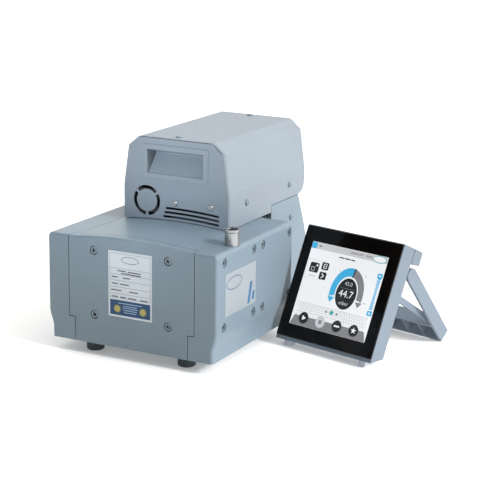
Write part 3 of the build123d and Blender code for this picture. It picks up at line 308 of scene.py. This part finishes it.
COVER_BLUE = (0.168, 0.225, 0.270)
HOOD_BLUE = (0.214, 0.252, 0.290)
LAVENDER_GREY = (0.160, 0.198, 0.244)
finishes = {
    "cover_paint": painted("satin lacquer", COVER_BLUE, 1.6, 0.006, 0.36),
    "hood_paint": painted("powder coat", HOOD_BLUE, 0.7, 0.012, 0.44),
    "controller_plastic": painted("lavender grey moulding", LAVENDER_GREY, 0.4, 0.010, 0.42, 0.5),
}
print("painted finishes:", sorted(finishes))


# %% [markdown]
# ## Bare metals
# Each metal shows how it was made. The cap screws carry a dull zinc flake coat, the small
# screws are plated and a little cloudy, the inlet stub is turned on a lathe, so it carries
# fine rings round its axis, and cast parts are grainy. Rings come from a wave texture that
# depends on height alone.


# %% Metals
def metal(name, colour, roughness, lump_mm, depth_mm, cloud=0.12, metallic=1.0):
    """Plated, ground or cast metal with clouds in its shine."""
    finish = Finish(name, {"Metallic": metallic})
    clouds = finish.grain(lump_mm * 6, 3.0)
    lumps = finish.grain(lump_mm, 3.0)
    finish.feed("Base Color", finish.ramp(clouds, two_tones(colour, 1 - cloud, 1 + cloud)))
    finish.feed("Roughness", roughness + 0.14 * lumps)
    finish.feed("Normal", finish.bump(lumps, depth_mm))
    return finish.material


WAVE_PER_RING = 20


def turned_steel(name, colour, ring_mm):
    """Satin stainless steel with lathe rings along Z."""
    finish = Finish(name, {"Metallic": 1.0})
    settings = {"wave_type": "BANDS", "bands_direction": "Z"}
    scale = 1 / (MM * ring_mm * WAVE_PER_RING)
    inputs = {"Vector": finish.place(), "Scale": scale, "Distortion": 0.2}
    rings = finish.node("ShaderNodeTexWave", settings, inputs, "Fac")
    handled = finish.grain(6.0, 3.0)
    finish.feed("Base Color", finish.ramp(handled, two_tones(colour, 0.94, 1.04)))
    finish.feed("Roughness", 0.22 + 0.06 * rings + 0.08 * handled)
    finish.feed("Normal", finish.bump(rings, 0.0008))
    return finish.material


finishes.update({
    "screw_steel": metal("zinc flake coat", (0.20, 0.245, 0.28), 0.34, 0.6, 0.01, metallic=0.35),
    "small_screw_steel": metal("nickel plated steel", (0.42, 0.44, 0.45), 0.20, 0.5, 0.008),
    "stainless": turned_steel("turned stainless steel", (0.41, 0.42, 0.43), 0.35),
    "cast_metal": metal("cast aluminium", (0.52, 0.54, 0.56), 0.42, 0.9, 0.08),
    "shaft_steel": metal("ground steel", (0.48, 0.48, 0.50), 0.18, 0.5, 0.004),
    "winding_copper": metal("varnished copper", (0.60, 0.26, 0.10), 0.30, 1.2, 0.10),
})
print("finishes so far:", len(finishes))


# %% [markdown]
# ## Plastics, rubber and boards
# Moulded plastic has a fine spark-eroded grain, rubber is duller and a bit dusty on its
# high spots. Both are one recipe with other numbers: a colour that drifts, a roughness,
# and a grain in the bump. A circuit board is green lacquer over copper tracks, and a
# pattern of cells, cut off at one height, gives the tracks.


# %% Plastics
DUST_LIFT = 0.16


def moulded(name, colour, roughness, grain_mm, depth_mm, dust=0.0):
    """Plastic or rubber with a moulded grain and a little dust."""
    finish = Finish(name, {"Specular IOR Level": 0.4})
    grain = finish.grain(grain_mm, 3.0)
    drift = finish.grain(25.0, 2.0)
    dusty = (*[min(1.0, channel + DUST_LIFT) for channel in colour], 1.0)
    tone = finish.ramp(drift, two_tones(colour, 0.92, 1.08))
    finish.feed("Base Color", finish.blend(dust * grain, tone, dusty))
    finish.feed("Roughness", roughness + 0.12 * grain)
    finish.feed("Normal", finish.bump(grain, depth_mm))
    return finish.material


BOARD_CELLS_PER_M, TRACK_EDGE = 240.0, 0.42
MASK_GREEN, TRACK_GREEN = (0.015, 0.11, 0.05, 1), (0.05, 0.26, 0.10, 1)


def circuit_board(name):
    """Green solder mask with raised tracks."""
    finish = Finish(name, {"Specular IOR Level": 0.5})
    settings = {"feature": "F1", "distance": "MANHATTAN"}
    inputs = {"Vector": finish.place(), "Scale": BOARD_CELLS_PER_M}
    cells = finish.node("ShaderNodeTexVoronoi", settings, inputs, "Distance")
    tracks = cells > TRACK_EDGE
    finish.feed("Base Color", finish.blend(tracks, MASK_GREEN, TRACK_GREEN))
    finish.feed("Roughness", 0.42 - 0.10 * tracks)
    finish.feed("Normal", finish.bump(tracks, 0.05))
    return finish.material


finishes.update({
    "foot_rubber": moulded("foot rubber", (0.030, 0.040, 0.042), 0.58, 0.5, 0.03, 0.18),
    "black_plastic": moulded("black plastic", (0.016, 0.018, 0.020), 0.42, 0.4, 0.02, 0.03),
    "silencer_plastic": moulded("silencer plastic", (0.028, 0.029, 0.032), 0.50, 0.5, 0.03, 0.06),
    "diaphragm_rubber": moulded("coated diaphragm", (0.72, 0.72, 0.68), 0.35, 0.7, 0.01),
    "board_green": circuit_board("solder mask"),
    "pale_rubber": moulded("pale pad rubber", (0.66, 0.70, 0.78), 0.55, 0.5, 0.02, 0.1),
})
print("finishes so far:", len(finishes))


# %% [markdown]
# ## Foil and glass
# The rating plate is printed foil, brushed along its width, and the side label is the same
# recipe without the metal. The controller's face is one sheet of glass, printed black from
# behind: almost no colour of its own, and a sharp shine, with a trace of finger marks in
# its roughness.


# %% Foil and glass
SCRATCH_SCALE = (60.0, 4000.0, 4000.0)


def brushed_foil(name, colour, metallic):
    """Printed foil or film with long fine scratches along X."""
    finish = Finish(name, {"Metallic": metallic})
    inputs = {"Vector": finish.place(), "Scale": SCRATCH_SCALE}
    stretched = finish.node("ShaderNodeMapping", {}, inputs)
    scratches = finish.node("ShaderNodeTexNoise", {}, {"Vector": stretched, "Scale": 1.0}, "Fac")
    drift = finish.grain(30.0, 2.0)
    finish.feed("Base Color", finish.ramp(drift, two_tones(colour, 0.97, 1.03)))
    finish.feed("Roughness", 0.34 + 0.12 * scratches)
    finish.feed("Normal", finish.bump(scratches, 0.002))
    return finish.material


GLASS_CLEAN = (0.0012, 0.0010, 0.0010, 1)
GLASS_SMEARED = (0.0040, 0.0028, 0.0022, 1)


def black_glass(name):
    """Glass printed black from behind."""
    finish = Finish(name, {"Specular IOR Level": 0.22})
    smears = finish.grain(18.0, 4.0)
    finish.feed("Base Color", finish.ramp(smears, [(0.35, GLASS_CLEAN), (0.75, GLASS_SMEARED)]))
    finish.feed("Roughness", 0.05 + 0.10 * smears)
    finish.feed("Normal", finish.bump(smears, 0.002))
    return finish.material


finishes.update({
    "plate_foil": brushed_foil("printed foil", (0.49, 0.54, 0.58), 0.25),
    "label_film": brushed_foil("label film", (0.285, 0.315, 0.345), 0.0),
    "glass_black": black_glass("black glass"),
    "display": moulded("display module", (0.30, 0.32, 0.34), 0.30, 2.0, 0.01),
})
print("all finishes:", sorted(finishes))

# %% [markdown]
# ## Dressing the nodes
# The part's record gives every node a slot, and each slot has one finish, so a loop dresses
# them all. A few nodes look different from the rest of their slot: the controller stands on
# pale pads, its pins are hidden in its own colour, the hood's screws are dull like the cap
# screws, the tray in the hood is black, and the side label is a film and not a foil.

# %% Give every CAD node its finish
OTHER_FINISH = {
    "front_pads": "pale_rubber",
    "hood_screws": "screw_steel",
    "electronics_tray": "black_plastic",
    "hinge_pins": "controller_plastic",
    "strut_pins": "controller_plastic",
    "side_label": "label_film",
}
slot_of = {part["node"]: part["material_slot"] for part in frame["record"]["subparts"]}
for node_name, node in frame["nodes"].items():
    node.data.materials.clear()
    node.data.materials.append(finishes[slot_of[node_name]])
for node_name, finish_name in OTHER_FINISH.items():
    frame["nodes"][node_name].data.materials[0] = finishes[finish_name]
print("nodes with a finish:", len(slot_of), "with another one:", len(OTHER_FINISH))


# %% [markdown]
# ## Printing
# Ink and film have a thickness, only a very small one. Each colour of a print becomes one
# mesh of thin slabs that lie on the surface, and a second colour lies on the first. That
# keeps its edges sharp at any distance, and it exports as real geometry. The alternative,
# drawing with shader maths, would need one long formula per plate.


# %% Figures in millimetres
def bar(x, z, wide, high):
    """Upright rectangle about its middle."""
    return [(x - wide / 2, z - high / 2), (x + wide / 2, z - high / 2),
            (x + wide / 2, z + high / 2), (x - wide / 2, z + high / 2)]


def sector(x, z, outer, inner, first, last, steps=36):
    """Part of a ring between two angles in degrees. outer and inner are (across, up) radii."""
    def arc(radii, start, end):
        angles = [math.radians(start + (end - start) * i / steps) for i in range(steps + 1)]
        return [(x + radii[0] * math.cos(a), z + radii[1] * math.sin(a)) for a in angles]
    return arc(outer, first, last) + arc(inner, last, first)


def oval(x, z, across, up, steps=48):
    angles = [2 * math.pi * i / steps for i in range(steps)]
    return [(x + across * math.cos(a), z + up * math.sin(a)) for a in angles]


def oval_line(x, z, across, up, line):
    """Outline of an oval, as two half rings."""
    outer, inner = (across, up), (across - line, up - line)
    return [sector(x, z, outer, inner, 0, 180), sector(x, z, outer, inner, 180, 360)]


def round_bar(x, z, wide, high, radius, steps=6):
    """Rectangle with rounded corners."""
    points = []
    for corner, (sx, sz) in enumerate(((1, 1), (-1, 1), (-1, -1), (1, -1))):
        for i in range(steps + 1):
            a = math.radians(90 * corner + 90 * i / steps)
            centre = (x + sx * (wide / 2 - radius), z + sz * (high / 2 - radius))
            points.append((centre[0] + radius * math.cos(a), centre[1] + radius * math.sin(a)))
    return points


def frame_line(x, z, wide, high, line):
    """Outline of a rectangle, as four bars."""
    return [bar(x, z + high / 2, wide + line, line), bar(x, z - high / 2, wide + line, line),
            bar(x - wide / 2, z, line, high - line), bar(x + wide / 2, z, line, high - line)]


print("a square:", bar(0, 0, 2, 2))

# %% [markdown]
# ## Slabs of ink
# A figure becomes a slab when its outline is copied a hair's breadth forward and the two
# are joined by walls. Each layer lies on the one below. An extrude operator would do the
# same but works only on a selected object in edit mode, so the mesh is built directly.

# %% Slabs of ink
INK_MM = 0.06


def slabs(name, figures, place, layer, body, material, sink=0.0):
    """One mesh of thin slabs that face against the frame's inward axis."""
    mesh = bmesh.new()
    back, front = sink - INK_MM * layer, sink - INK_MM * (layer + 1)
    for figure in figures:
        low = [mesh.verts.new((x, back, z)) for x, z in figure]
        top = [mesh.verts.new((x, front, z)) for x, z in figure]
        mesh.faces.new(low)
        mesh.faces.new(top)
        for i in range(len(figure)):
            j = (i + 1) % len(figure)
            mesh.faces.new((low[i], low[j], top[j], top[i]))
    mesh.transform(place)
    bmesh.ops.triangulate(mesh, faces=[f for f in mesh.faces if len(f.verts) > 4])
    bmesh.ops.recalc_face_normals(mesh, faces=mesh.faces)
    data = bpy.data.meshes.new(name)
    mesh.to_mesh(data)
    mesh.free()
    data.materials.append(material)
    piece = bpy.data.objects.new(name, data)
    scene.collection.objects.link(piece)
    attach(piece, body)
    return piece


def ink(name, colour, roughness=0.45, spread=0.06):
    """Screen-printed ink, not quite even."""
    return moulded(name, colour, roughness, 0.5, 0.004, spread)


print("one layer of ink is", INK_MM, "mm thick")


# %% [markdown]
# ## The rating plate
# A foil plate sits in a shallow pocket of the front cover. It carries ruled lines with
# short words, an oval mark at the top and a blue field at the bottom. No real words belong
# on this copy, so each word is a plain dash, the mark is an empty oval, and the blue field
# has two plain discs.

# %% Rating plate
plate_low, plate_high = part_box("rating_plate")
plate_frame = front_frame(plate_low, plate_high, (plate_low.z + plate_high.z) / 2)
RULE_WIDE, RULE_THICK = 58.0, 0.35
RULES = (20.5, 13.0, 5.0, -3.5, -12.0)
WORD_HIGH = 1.5
grey_ink = ink("dark grey ink", (0.075, 0.085, 0.10))
WORDS = (
    (-12, 17.6, 12), (6, 17.2, 19), (-6, 14.6, 13), (8, 14.3, 15),
    (-22, 9.2, 9), (-5, 9.0, 11), (-22, 0.8, 9), (-8, 0.6, 13),
    (-20, -7.6, 15), (5, -7.9, 13),
    (-22, -16.0, 9), (-10, -16.1, 9), (3, -16.3, 12), (20, -16.6, 11),
)
border = frame_line(0, 11.0, RULE_WIDE, 57.0, RULE_THICK)
fine_lines = [bar(0, z, RULE_WIDE, RULE_THICK) for z in RULES] + border
words = [bar(x, z, wide, WORD_HIGH) for x, z, wide in WORDS]
mark = oval_line(0, 32.2, 12.5, 4.6, 0.7)
figures = fine_lines + words + mark
slabs("plate_print", figures, plate_frame, 0, "pump", grey_ink)
print("rating plate:", len(RULES), "rules and", len(WORDS), "dashes")

# %% [markdown]
# ## The blue field of the plate
# The lowest part of the plate is one solid blue bar. Two yellow discs with dark rims lie on
# it, and pale dashes run between them. Ink lies on ink here, so each colour takes the next
# layer up, which keeps their faces apart.

# %% Blue field
BLUE_FIELD = (0.0, -30.0, 58.0, 19.5)
DISC_X, DISC_Z, DISC_R, RIM_R = 18.5, -31.5, 4.4, 5.6
FIELD_DASHES = ((-24.0, 34.0), (-27.2, 20.0), (-29.8, 22.0), (-32.6, 20.0), (-35.4, 18.0))
blue_ink = ink("deep blue ink", (0.005, 0.048, 0.130))
yellow_ink = ink("dull yellow ink", (0.36, 0.33, 0.09))
pale_ink = ink("pale blue ink", (0.30, 0.42, 0.55))
rims = [oval(x, DISC_Z, RIM_R, RIM_R) for x in (-DISC_X, DISC_X)]
discs = [oval(x, DISC_Z, DISC_R, DISC_R) for x in (-DISC_X, DISC_X)]
dashes = [bar(0, z, wide, 0.9) for z, wide in FIELD_DASHES]
slabs("plate_field", [bar(*BLUE_FIELD)], plate_frame, 0, "pump", blue_ink)
slabs("plate_disc_rims", rims, plate_frame, 1, "pump", grey_ink)
slabs("plate_discs", discs, plate_frame, 2, "pump", yellow_ink)
slabs("plate_field_dashes", dashes, plate_frame, 1, "pump", pale_ink)
print("blue field:", BLUE_FIELD[2], "x", BLUE_FIELD[3], "mm")

# %% [markdown]
# ## A painted shadow along the hood's front panel
# A dark line of paint runs along the panel's top and down its right bevel, where it meets the
# shell. It is a painted shadow of the gap between panel and shell.

# %% Painted shadow at the panel's edge
panel_low, panel_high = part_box("hood_front_panel")
panel_frame = front_frame(panel_low, panel_high, panel_high.z)
# Painted shadow: this dark paint stands for the shade in the gap between the panel and the shell.
gap_shadow_paint = ink("painted gap shadow", (0.030, 0.040, 0.048))
EDGE_WIDE, EDGE_Z, EDGE_END = 0.9, -0.2, 52.0
BEVEL_LOW_Z = -11.8
top_edge = bar(0, EDGE_Z - EDGE_WIDE / 2, 2 * EDGE_END, EDGE_WIDE)
bevel_edge = [(54.2, -1.0 - EDGE_WIDE), (67.2, BEVEL_LOW_Z - EDGE_WIDE),
              (67.8, BEVEL_LOW_Z), (54.2, -0.7)]
slabs("panel_gap_shadow", [top_edge, bevel_edge], panel_frame, 0, "pump", gap_shadow_paint)
print("panel edge at", panel_frame.translation)

# %% [markdown]
# ## The side label
# A pale film on the right cover, with a thin oval and one tall blue sign. The sign here is
# two plain leaning bars, a long and a short one, which say nothing.

# %% Side label
label_low, label_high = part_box("side_label")
label_middle = (label_low + label_high) / 2
label_zero = (label_high.x, label_middle.y, label_middle.z)
label_frame = local_frame(label_zero, (0, 1, 0), (-1, 0, 0), UPWARD)
slate_ink = ink("slate ink", (0.10, 0.15, 0.22))
sky_ink = ink("label blue ink", (0.018, 0.12, 0.24))
ring = oval_line(-17.0, 12.5, 20.5, 8.6, 1.5)
LONG_BAR = [(18.0, -24.0), (24.0, -24.0), (31.5, 3.0), (25.5, 3.0)]
SHORT_BAR = [(30.0, -21.5), (35.5, -21.5), (38.0, -11.0), (32.5, -11.0)]
slabs("label_oval", ring, label_frame, 0, "pump", slate_ink)
slabs("label_sign", [LONG_BAR, SHORT_BAR], label_frame, 0, "pump", sky_ink)
print("side label at", label_frame.translation)

# %% [markdown]
# ## The screen
# The picture on the screen is light, not ink, so its colours glow. Every shape is again a
# thin slab, now with a coat as clear as the glass, so that it seems to lie under it. A
# pressure dial fills the middle: a blue arc up to the needle and a grey arc after it, round
# a black disc with the reading.


# %% Screen colours
SCREEN_MATTE = 0.32
DOTS_PER_M = 3600.0


def lit(name, colour, glow):
    """A lit patch of the screen under clear glass, with the fine grid of its dots."""
    finish = Finish(name, {
        "Coat Weight": 0.5, "Coat Roughness": 0.02, "Roughness": 0.4,
        "Emission Strength": glow, "Base Color": shade(colour, SCREEN_MATTE)})
    settings = {"feature": "F1", "distance": "CHEBYCHEV"}
    inputs = {"Vector": finish.place(), "Scale": DOTS_PER_M, "Randomness": 0.0}
    grid = finish.node("ShaderNodeTexVoronoi", settings, inputs, "Distance")
    tone = finish.ramp(grid, [(0.35, shade(colour, 1.0)), (0.5, shade(colour, 0.93))])
    finish.feed("Emission Color", tone)
    return finish.material


GLOW = 0.70
white_light = lit("white light", (0.95, 0.96, 0.98), GLOW)
blue_light = lit("blue light", (0.05, 0.46, 0.80), GLOW)
grey_light = lit("grey light", (0.235, 0.235, 0.25), GLOW)
pale_light = lit("pale grey light", (0.62, 0.63, 0.65), GLOW)
dark_light = lit("dark light", (0.010, 0.010, 0.012), 0.1)
teal_light = lit("teal light", (0.05, 0.42, 0.42), GLOW)


def on_screen(name, figures, layer, light):
    return slabs(name, figures, screen_frame, layer, "controller", light)


print("screen colours glow at", GLOW)


# %% [markdown]
# ## Ground and header of the screen
# A white ground fills the display. A grey header runs along its top, with a blue tab at the
# left, short marks where a date would stand, and an empty oval badge at the right. The
# ground is one slab, and all the other figures of the screen lie on it, layer by layer.

# %% Screen ground and header
SCREEN = (0.0, 73.0, 121.0, 111.0)
HEADER_Z, HEADER_HIGH = 124.0, 8.4
BADGE = (48.3, 123.6)
on_screen("screen_ground", [bar(*SCREEN)], 0, white_light)
header = bar(4.0, HEADER_Z, 112.5, HEADER_HIGH)
marks = [bar(4 + 3.4 * i, 124.3, 1.9, 2.4) for i in range(10) if i != 6]
on_screen("screen_header", [header], 1, pale_light)
on_screen("screen_header_marks", marks + [bar(-46.5, HEADER_Z, 4.5, 2.0)], 2, grey_light)
on_screen("screen_tab", [bar(-56.3, HEADER_Z, 8.0, HEADER_HIGH)], 1, blue_light)
on_screen("screen_badge", [oval(*BADGE, 10.8, 4.8)], 2, teal_light)
on_screen("screen_badge_centre", [oval(*BADGE, 9.8, 3.8)], 3, white_light)
title = [bar(-9.2, 115.2, 7.5, 1.5), bar(0.2, 115.2, 8.5, 1.5), bar(9.0, 115.0, 6.0, 1.5)]
print("screen:", SCREEN[2], "x", SCREEN[3], "mm")

# %% [markdown]
# ## Icons of the screen
# Three black tiles with rounded corners stand at the left, one of them in a thin frame.
# Each carries a plain sign in white: a small frame with a dot, a page, and an arrow.

# %% Screen icons
box = frame_line(-45.0, 93.0, 26.0, 24.0, 0.4)
TILE = (11.2, 10.0, 2.0)
PAGE = (-30.4, 99.7)
icons = [round_bar(-47.0, 95.4, 14.5, 13.0, 2.0), round_bar(*PAGE, *TILE),
         round_bar(-30.6, 86.9, *TILE)]
on_screen("screen_icon_box", box + [bar(-47.0, 84.3, 11.0, 1.4)], 1, pale_light)
on_screen("screen_icons", icons + title, 1, dark_light)
arrow = [(-33.2, 90.0), (-31.6, 90.0), (-28.0, 86.9),
         (-31.6, 83.8), (-33.2, 83.8), (-29.8, 86.9)]
page = frame_line(*PAGE, 4.4, 5.4, 0.7) + [bar(*PAGE, 2.2, 0.7)]
dot = oval(-43.0, 98.6, 1.3, 1.5)
small_frame = frame_line(-48.5, 93.4, 5.0, 4.6, 0.45)
on_screen("screen_icon_signs", [arrow, dot] + page + small_frame, 2, white_light)
print("icons:", len(icons))

# %% [markdown]
# ## The dial
# Two arcs make the dial, blue up to the needle and grey after it, and each ends in an arrow
# tip. The screen leans back and the picture on it is a little taller than wide, so the
# arcs are parts of ovals.

# %% Screen dial
DIAL = (12.9, 71.3)
OUTER, INNER = (26.0, 34.0), (17.4, 23.0)
blue_arc = sector(*DIAL, OUTER, INNER, 82, 192)
grey_arc = sector(*DIAL, OUTER, INNER, -11, 78)
left_tip = [(-14.2, 64.0), (-3.2, 64.0), (-8.6, 56.6)]
right_tip = [(29.6, 64.2), (40.6, 64.2), (35.2, 57.2)]
on_screen("screen_dial_blue", [blue_arc, left_tip], 1, blue_light)
on_screen("screen_dial_grey", [grey_arc, right_tip], 1, grey_light)
needle = sector(*DIAL, (26.4, 34.4), (17.0, 22.4), 78, 83, 4)
on_screen("screen_dial_disc", [oval(*DIAL, 15.8, 20.4, 64), needle], 1, dark_light)
print("dial:", 2 * OUTER[0], "x", 2 * OUTER[1], "mm")


# %% [markdown]
# ## The reading
# The numbers and the unit are generic, so they are set in Blender's own font. A text curve
# has thickness when it is extruded, and its mesh is then laid on the screen like a slab.

# %% Screen reading
def reading(name, words, x, z, size, layer, light):
    """Letters of a reading as thin solids, centred on a point of the screen."""
    text = bpy.data.curves.new(name, "FONT")
    text.body = words
    text.size = size
    text.align_x = "CENTER"
    text.align_y = "CENTER"
    text.extrude = INK_MM / 2
    source = bpy.data.objects.new(name + "_source", text)
    data = bpy.data.meshes.new_from_object(source)
    bpy.data.objects.remove(source)
    upright = Matrix.Rotation(math.radians(90), 4, "X")
    spot = Matrix.Translation((x, -INK_MM * (layer + 0.5), z))
    data.transform(screen_frame @ spot @ upright)
    data.name = name
    data.materials.clear()
    data.materials.append(light)
    piece = bpy.data.objects.new(name, data)
    scene.collection.objects.link(piece)
    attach(piece, "controller")
    return piece


reading("screen_set_value", "45.0", DIAL[0], 84.2, 7.2, 2, pale_light)
reading("screen_value", "44.7", DIAL[0], 70.8, 13.0, 2, white_light)
reading("screen_unit", "mbar", DIAL[0], 58.8, 7.0, 2, pale_light)
on_screen("screen_value_rule", [bar(DIAL[0], 78.2, 22.0, 0.4)], 2, grey_light)
print("reading placed at", DIAL)

# %% [markdown]
# ## Scale, page dots and grid
# At the right a ladder of short bars runs between two square buttons. Under the dial, three
# dots show which page is open. They lie over a grid that runs back towards a horizon, drawn
# as lines that lean inwards and rules that crowd together towards the top.

# %% Screen scale and dots
SCALE_X, SCALE_ENDS = 55.4, (103.2, 54.6)
STEPS, STEP, STEP_HIGH = 16, 2.6, 1.8
waists = [5.6 - 1.8 * math.sin(math.pi * i / (STEPS - 1)) for i in range(STEPS)]
ladder = [bar(55.6, 60.5 + STEP * i, waist, STEP_HIGH) for i, waist in enumerate(waists)]
ends = [round_bar(SCALE_X, z, 7.4, 6.4, 1.0) for z in SCALE_ENDS]
centres = [round_bar(SCALE_X, z, 2.6, 2.2, 0.5) for z in SCALE_ENDS]
on_screen("screen_scale", ladder + ends, 1, blue_light)
on_screen("screen_scale_centres", centres, 2, white_light)
page_dots = [oval(-9.0, 43.2, 1.6, 1.6), oval(7.9, 43.2, 1.6, 1.6)]
on_screen("screen_page_dots", page_dots, 2, grey_light)
on_screen("screen_page_now", [oval(-0.4, 43.6, 2.9, 2.9)], 2, teal_light)
print("scale steps:", len(ladder))

# %% Grid and ticks of the screen
GRID_LOW, GRID_TOP, GRID_TAPER = 30.8, 48.5, 0.86
GRID_LEFT, GRID_STEP, GRID_LINES, GRID_RULES = -54.0, 4.5, 25, 7
LOW_HALF, TOP_HALF = 0.35, 0.2
ticks = [oval(-5.4, 98.5, 1.0, 1.0), oval(35.0, 99.0, 1.0, 1.0), bar(44.5, 65.0, 4.6, 1.6)]
grid = []
for x in (GRID_LEFT + GRID_STEP * i for i in range(GRID_LINES)):
    far = x * GRID_TAPER
    grid.append([(x - LOW_HALF, GRID_LOW), (x + LOW_HALF, GRID_LOW),
                 (far + TOP_HALF, GRID_TOP), (far - TOP_HALF, GRID_TOP)])
for row in range(GRID_RULES):
    grid.append(bar(0, GRID_TOP - 0.29 * row * (row + 1), 112.0, 0.25 + 0.07 * row))
on_screen("screen_weave", grid + ticks, 1, pale_light)
print("grid figures:", len(grid))

# %% [markdown]
# ## Buttons of the screen
# Four round buttons stand on a dark bar along the lower edge: play, stop, vent and a star.
# The stop button is grey because it can't be used yet. The bar is wider at its foot.

# %% Screen buttons
FLOOR_BAR = [(-60.3, 17.6), (60.3, 17.6), (55.6, 30.6), (-55.6, 30.6)]
BUTTON_Z = 28.6
on_screen("screen_floor_bar", [FLOOR_BAR], 2, grey_light)
PLAY_X, STOP_X, VENT_X, STAR_X = -40.5, -13.6, 13.1, 39.8
buttons = [oval(x, BUTTON_Z, 7.4, 7.6) for x in (PLAY_X, VENT_X, STAR_X)]
on_screen("screen_buttons", buttons, 3, dark_light)
on_screen("screen_button_stop", [oval(STOP_X, BUTTON_Z, 7.4, 7.6)], 3, pale_light)
play = [(-42.6, 32.0), (-42.6, 25.2), (-36.8, 28.6)]
star = [(STAR_X + r * math.sin(math.pi * i / 5), BUTTON_Z + r * math.cos(math.pi * i / 5))
        for i, r in enumerate((4.4, 1.9) * 5)]
vent_word = bar(VENT_X, BUTTON_Z, 8.6, 2.2)
on_screen("screen_button_signs", [play, star, vent_word], 4, white_light)
on_screen("screen_stop_sign", [bar(STOP_X, BUTTON_Z, 4.4, 5.0)], 4, grey_light)
print("buttons:", len(buttons) + 1)

# %% [markdown]
# ## Floor
# The set stands in a white room. The floor is nearly white and glows a little, as a lit
# table does, so that it turns pure white where light reaches it, and only the soft contact
# shadows stay. It is very large, which keeps its far edge out of most views. From 10 degrees
# or lower a thin dark line still shows at the top, where the floor ends.

# %% Floor
FLOOR_HALF = 80.0
FLOOR_GLOW = 0.22
FLOOR_WARM, FLOOR_COOL = (0.93, 0.925, 0.915, 1), (0.95, 0.945, 0.94, 1)
floor_mesh = bpy.data.meshes.new("floor")
corners = [(-FLOOR_HALF, -FLOOR_HALF, 0), (FLOOR_HALF, -FLOOR_HALF, 0),
           (FLOOR_HALF, FLOOR_HALF, 0), (-FLOOR_HALF, FLOOR_HALF, 0)]
floor_mesh.from_pydata(corners, [], [(0, 1, 2, 3)])
floor = bpy.data.objects.new("floor", floor_mesh)
scene.collection.objects.link(floor)
floor_finish = Finish("white floor", {
    "Roughness": 0.75, "Specular IOR Level": 0.25,
    "Emission Color": (1, 0.99, 0.98, 1), "Emission Strength": FLOOR_GLOW})
patches = floor_finish.grain(400.0)
stops = [(DRIFT_LOW, FLOOR_WARM), (DRIFT_HIGH, FLOOR_COOL)]
floor_finish.feed("Base Color", floor_finish.ramp(patches, stops))
floor_mesh.materials.append(floor_finish.material)
print("floor:", 2 * FLOOR_HALF, "m wide")

# %% [markdown]
# ## Sky
# The sky is bright behind and above and dim in front, which leaves the front panels a step
# darker than the right sides. A dot product with one direction gives the change from dim to
# bright. A picture of a studio could do the same, but it would be a file to load.

# %% Sky
SKY_DIM, SKY_BRIGHT = 0.08, 1.60
SKY_TOWARD = (0.45, 0.89, 0.0)
world = bpy.data.worlds.new("studio")
scene.world = world
world.use_nodes = True
sky = world.node_tree
toward = sky.nodes.new("ShaderNodeTexCoord")
along = sky.nodes.new("ShaderNodeVectorMath")
along.operation = "DOT_PRODUCT"
span = sky.nodes.new("ShaderNodeMapRange")
sky.links.new(toward.outputs["Generated"], along.inputs[0])
along.inputs[1].default_value = SKY_TOWARD
sky.links.new(along.outputs["Value"], span.inputs["Value"])
sky_span = {"From Min": -0.65, "From Max": 0.25, "To Min": SKY_DIM, "To Max": SKY_BRIGHT}
for socket, value in sky_span.items():
    span.inputs[socket].default_value = value
sky.nodes["Background"].inputs["Color"].default_value = (1.0, 0.995, 0.985, 1)
sky.links.new(span.outputs[0], sky.nodes["Background"].inputs["Strength"])
print("sky from", SKY_DIM, "to", SKY_BRIGHT)

# %% [markdown]
# ## Sun and lamps
# One soft sun from the right draws the short shadow of the inlet on the deck. Two narrow
# spots open up what the sky leaves too dark: the front of the hood, which lies in the shade
# of the sky's dim side, and the ribbed foot of the stand behind the controller.


# %% Sun and lamps
def add_lamp(name, kind, power, place, towards, settings):
    """A lamp at place that shines at towards."""
    lamp = bpy.data.objects.new(name, bpy.data.lights.new(name, kind))
    lamp.data.energy = power
    for key, value in settings.items():
        setattr(lamp.data, key, value)
    lamp.location = place
    lamp.rotation_mode = "QUATERNION"
    lamp.rotation_quaternion = (place - towards).to_track_quat("Z", "Y")
    scene.collection.objects.link(lamp)


SUN_HEADING, SUN_HEIGHT = math.radians(92), math.radians(33)
SUN_POWER, SUN_SOFTNESS = 2.5, math.radians(14)
sun_level = Vector((math.sin(SUN_HEADING), math.cos(SUN_HEADING), 0))
toward_sun = math.cos(SUN_HEIGHT) * sun_level + Vector((0, 0, math.sin(SUN_HEIGHT)))
add_lamp("sun", "SUN", SUN_POWER, toward_sun, Vector((0, 0, 0)), {"angle": SUN_SOFTNESS})
print("sun from", toward_sun)

# %% Lamp on the hood's front
LAMP_AT = Vector((-0.45, -2.2, 0.85))
LAMP_POWER = 232.0
LAMP_COLOUR = (0.89, 1.0, 1.13)
LAMP_CONE = math.radians(5.0)
BELOW_TOP = 35 * MM
hood_low, hood_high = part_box("hood_front_panel")
hood_spot = Vector(((hood_low.x + hood_high.x) / 2, hood_low.y, hood_high.z - BELOW_TOP))
add_lamp("hood_lamp", "SPOT", LAMP_POWER, LAMP_AT, hood_spot, {
    "spot_size": LAMP_CONE, "spot_blend": 0.4, "shadow_soft_size": 0.12,
    "color": LAMP_COLOUR})
print("hood lamp shines at", hood_spot)

# %% Lamp on the foot of the stand
STAND_LAMP_POWER = 180.0
STAND_LAMP_SHARE = 0.8
STAND_LAMP_CONE = math.radians(2.6)
pads_low, pads_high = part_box("leg_pads")
foot_spot = Vector((pads_high.x - 48.5 * MM, pads_low.y + 12 * MM, 17 * MM))
beside_camera = foot_spot.lerp(Vector(CAMERA_AT), STAND_LAMP_SHARE)
add_lamp("stand_lamp", "SPOT", STAND_LAMP_POWER, beside_camera, foot_spot, {
    "spot_size": STAND_LAMP_CONE, "spot_blend": 0.8, "shadow_soft_size": 0.06})
print("stand lamp shines at", foot_spot)
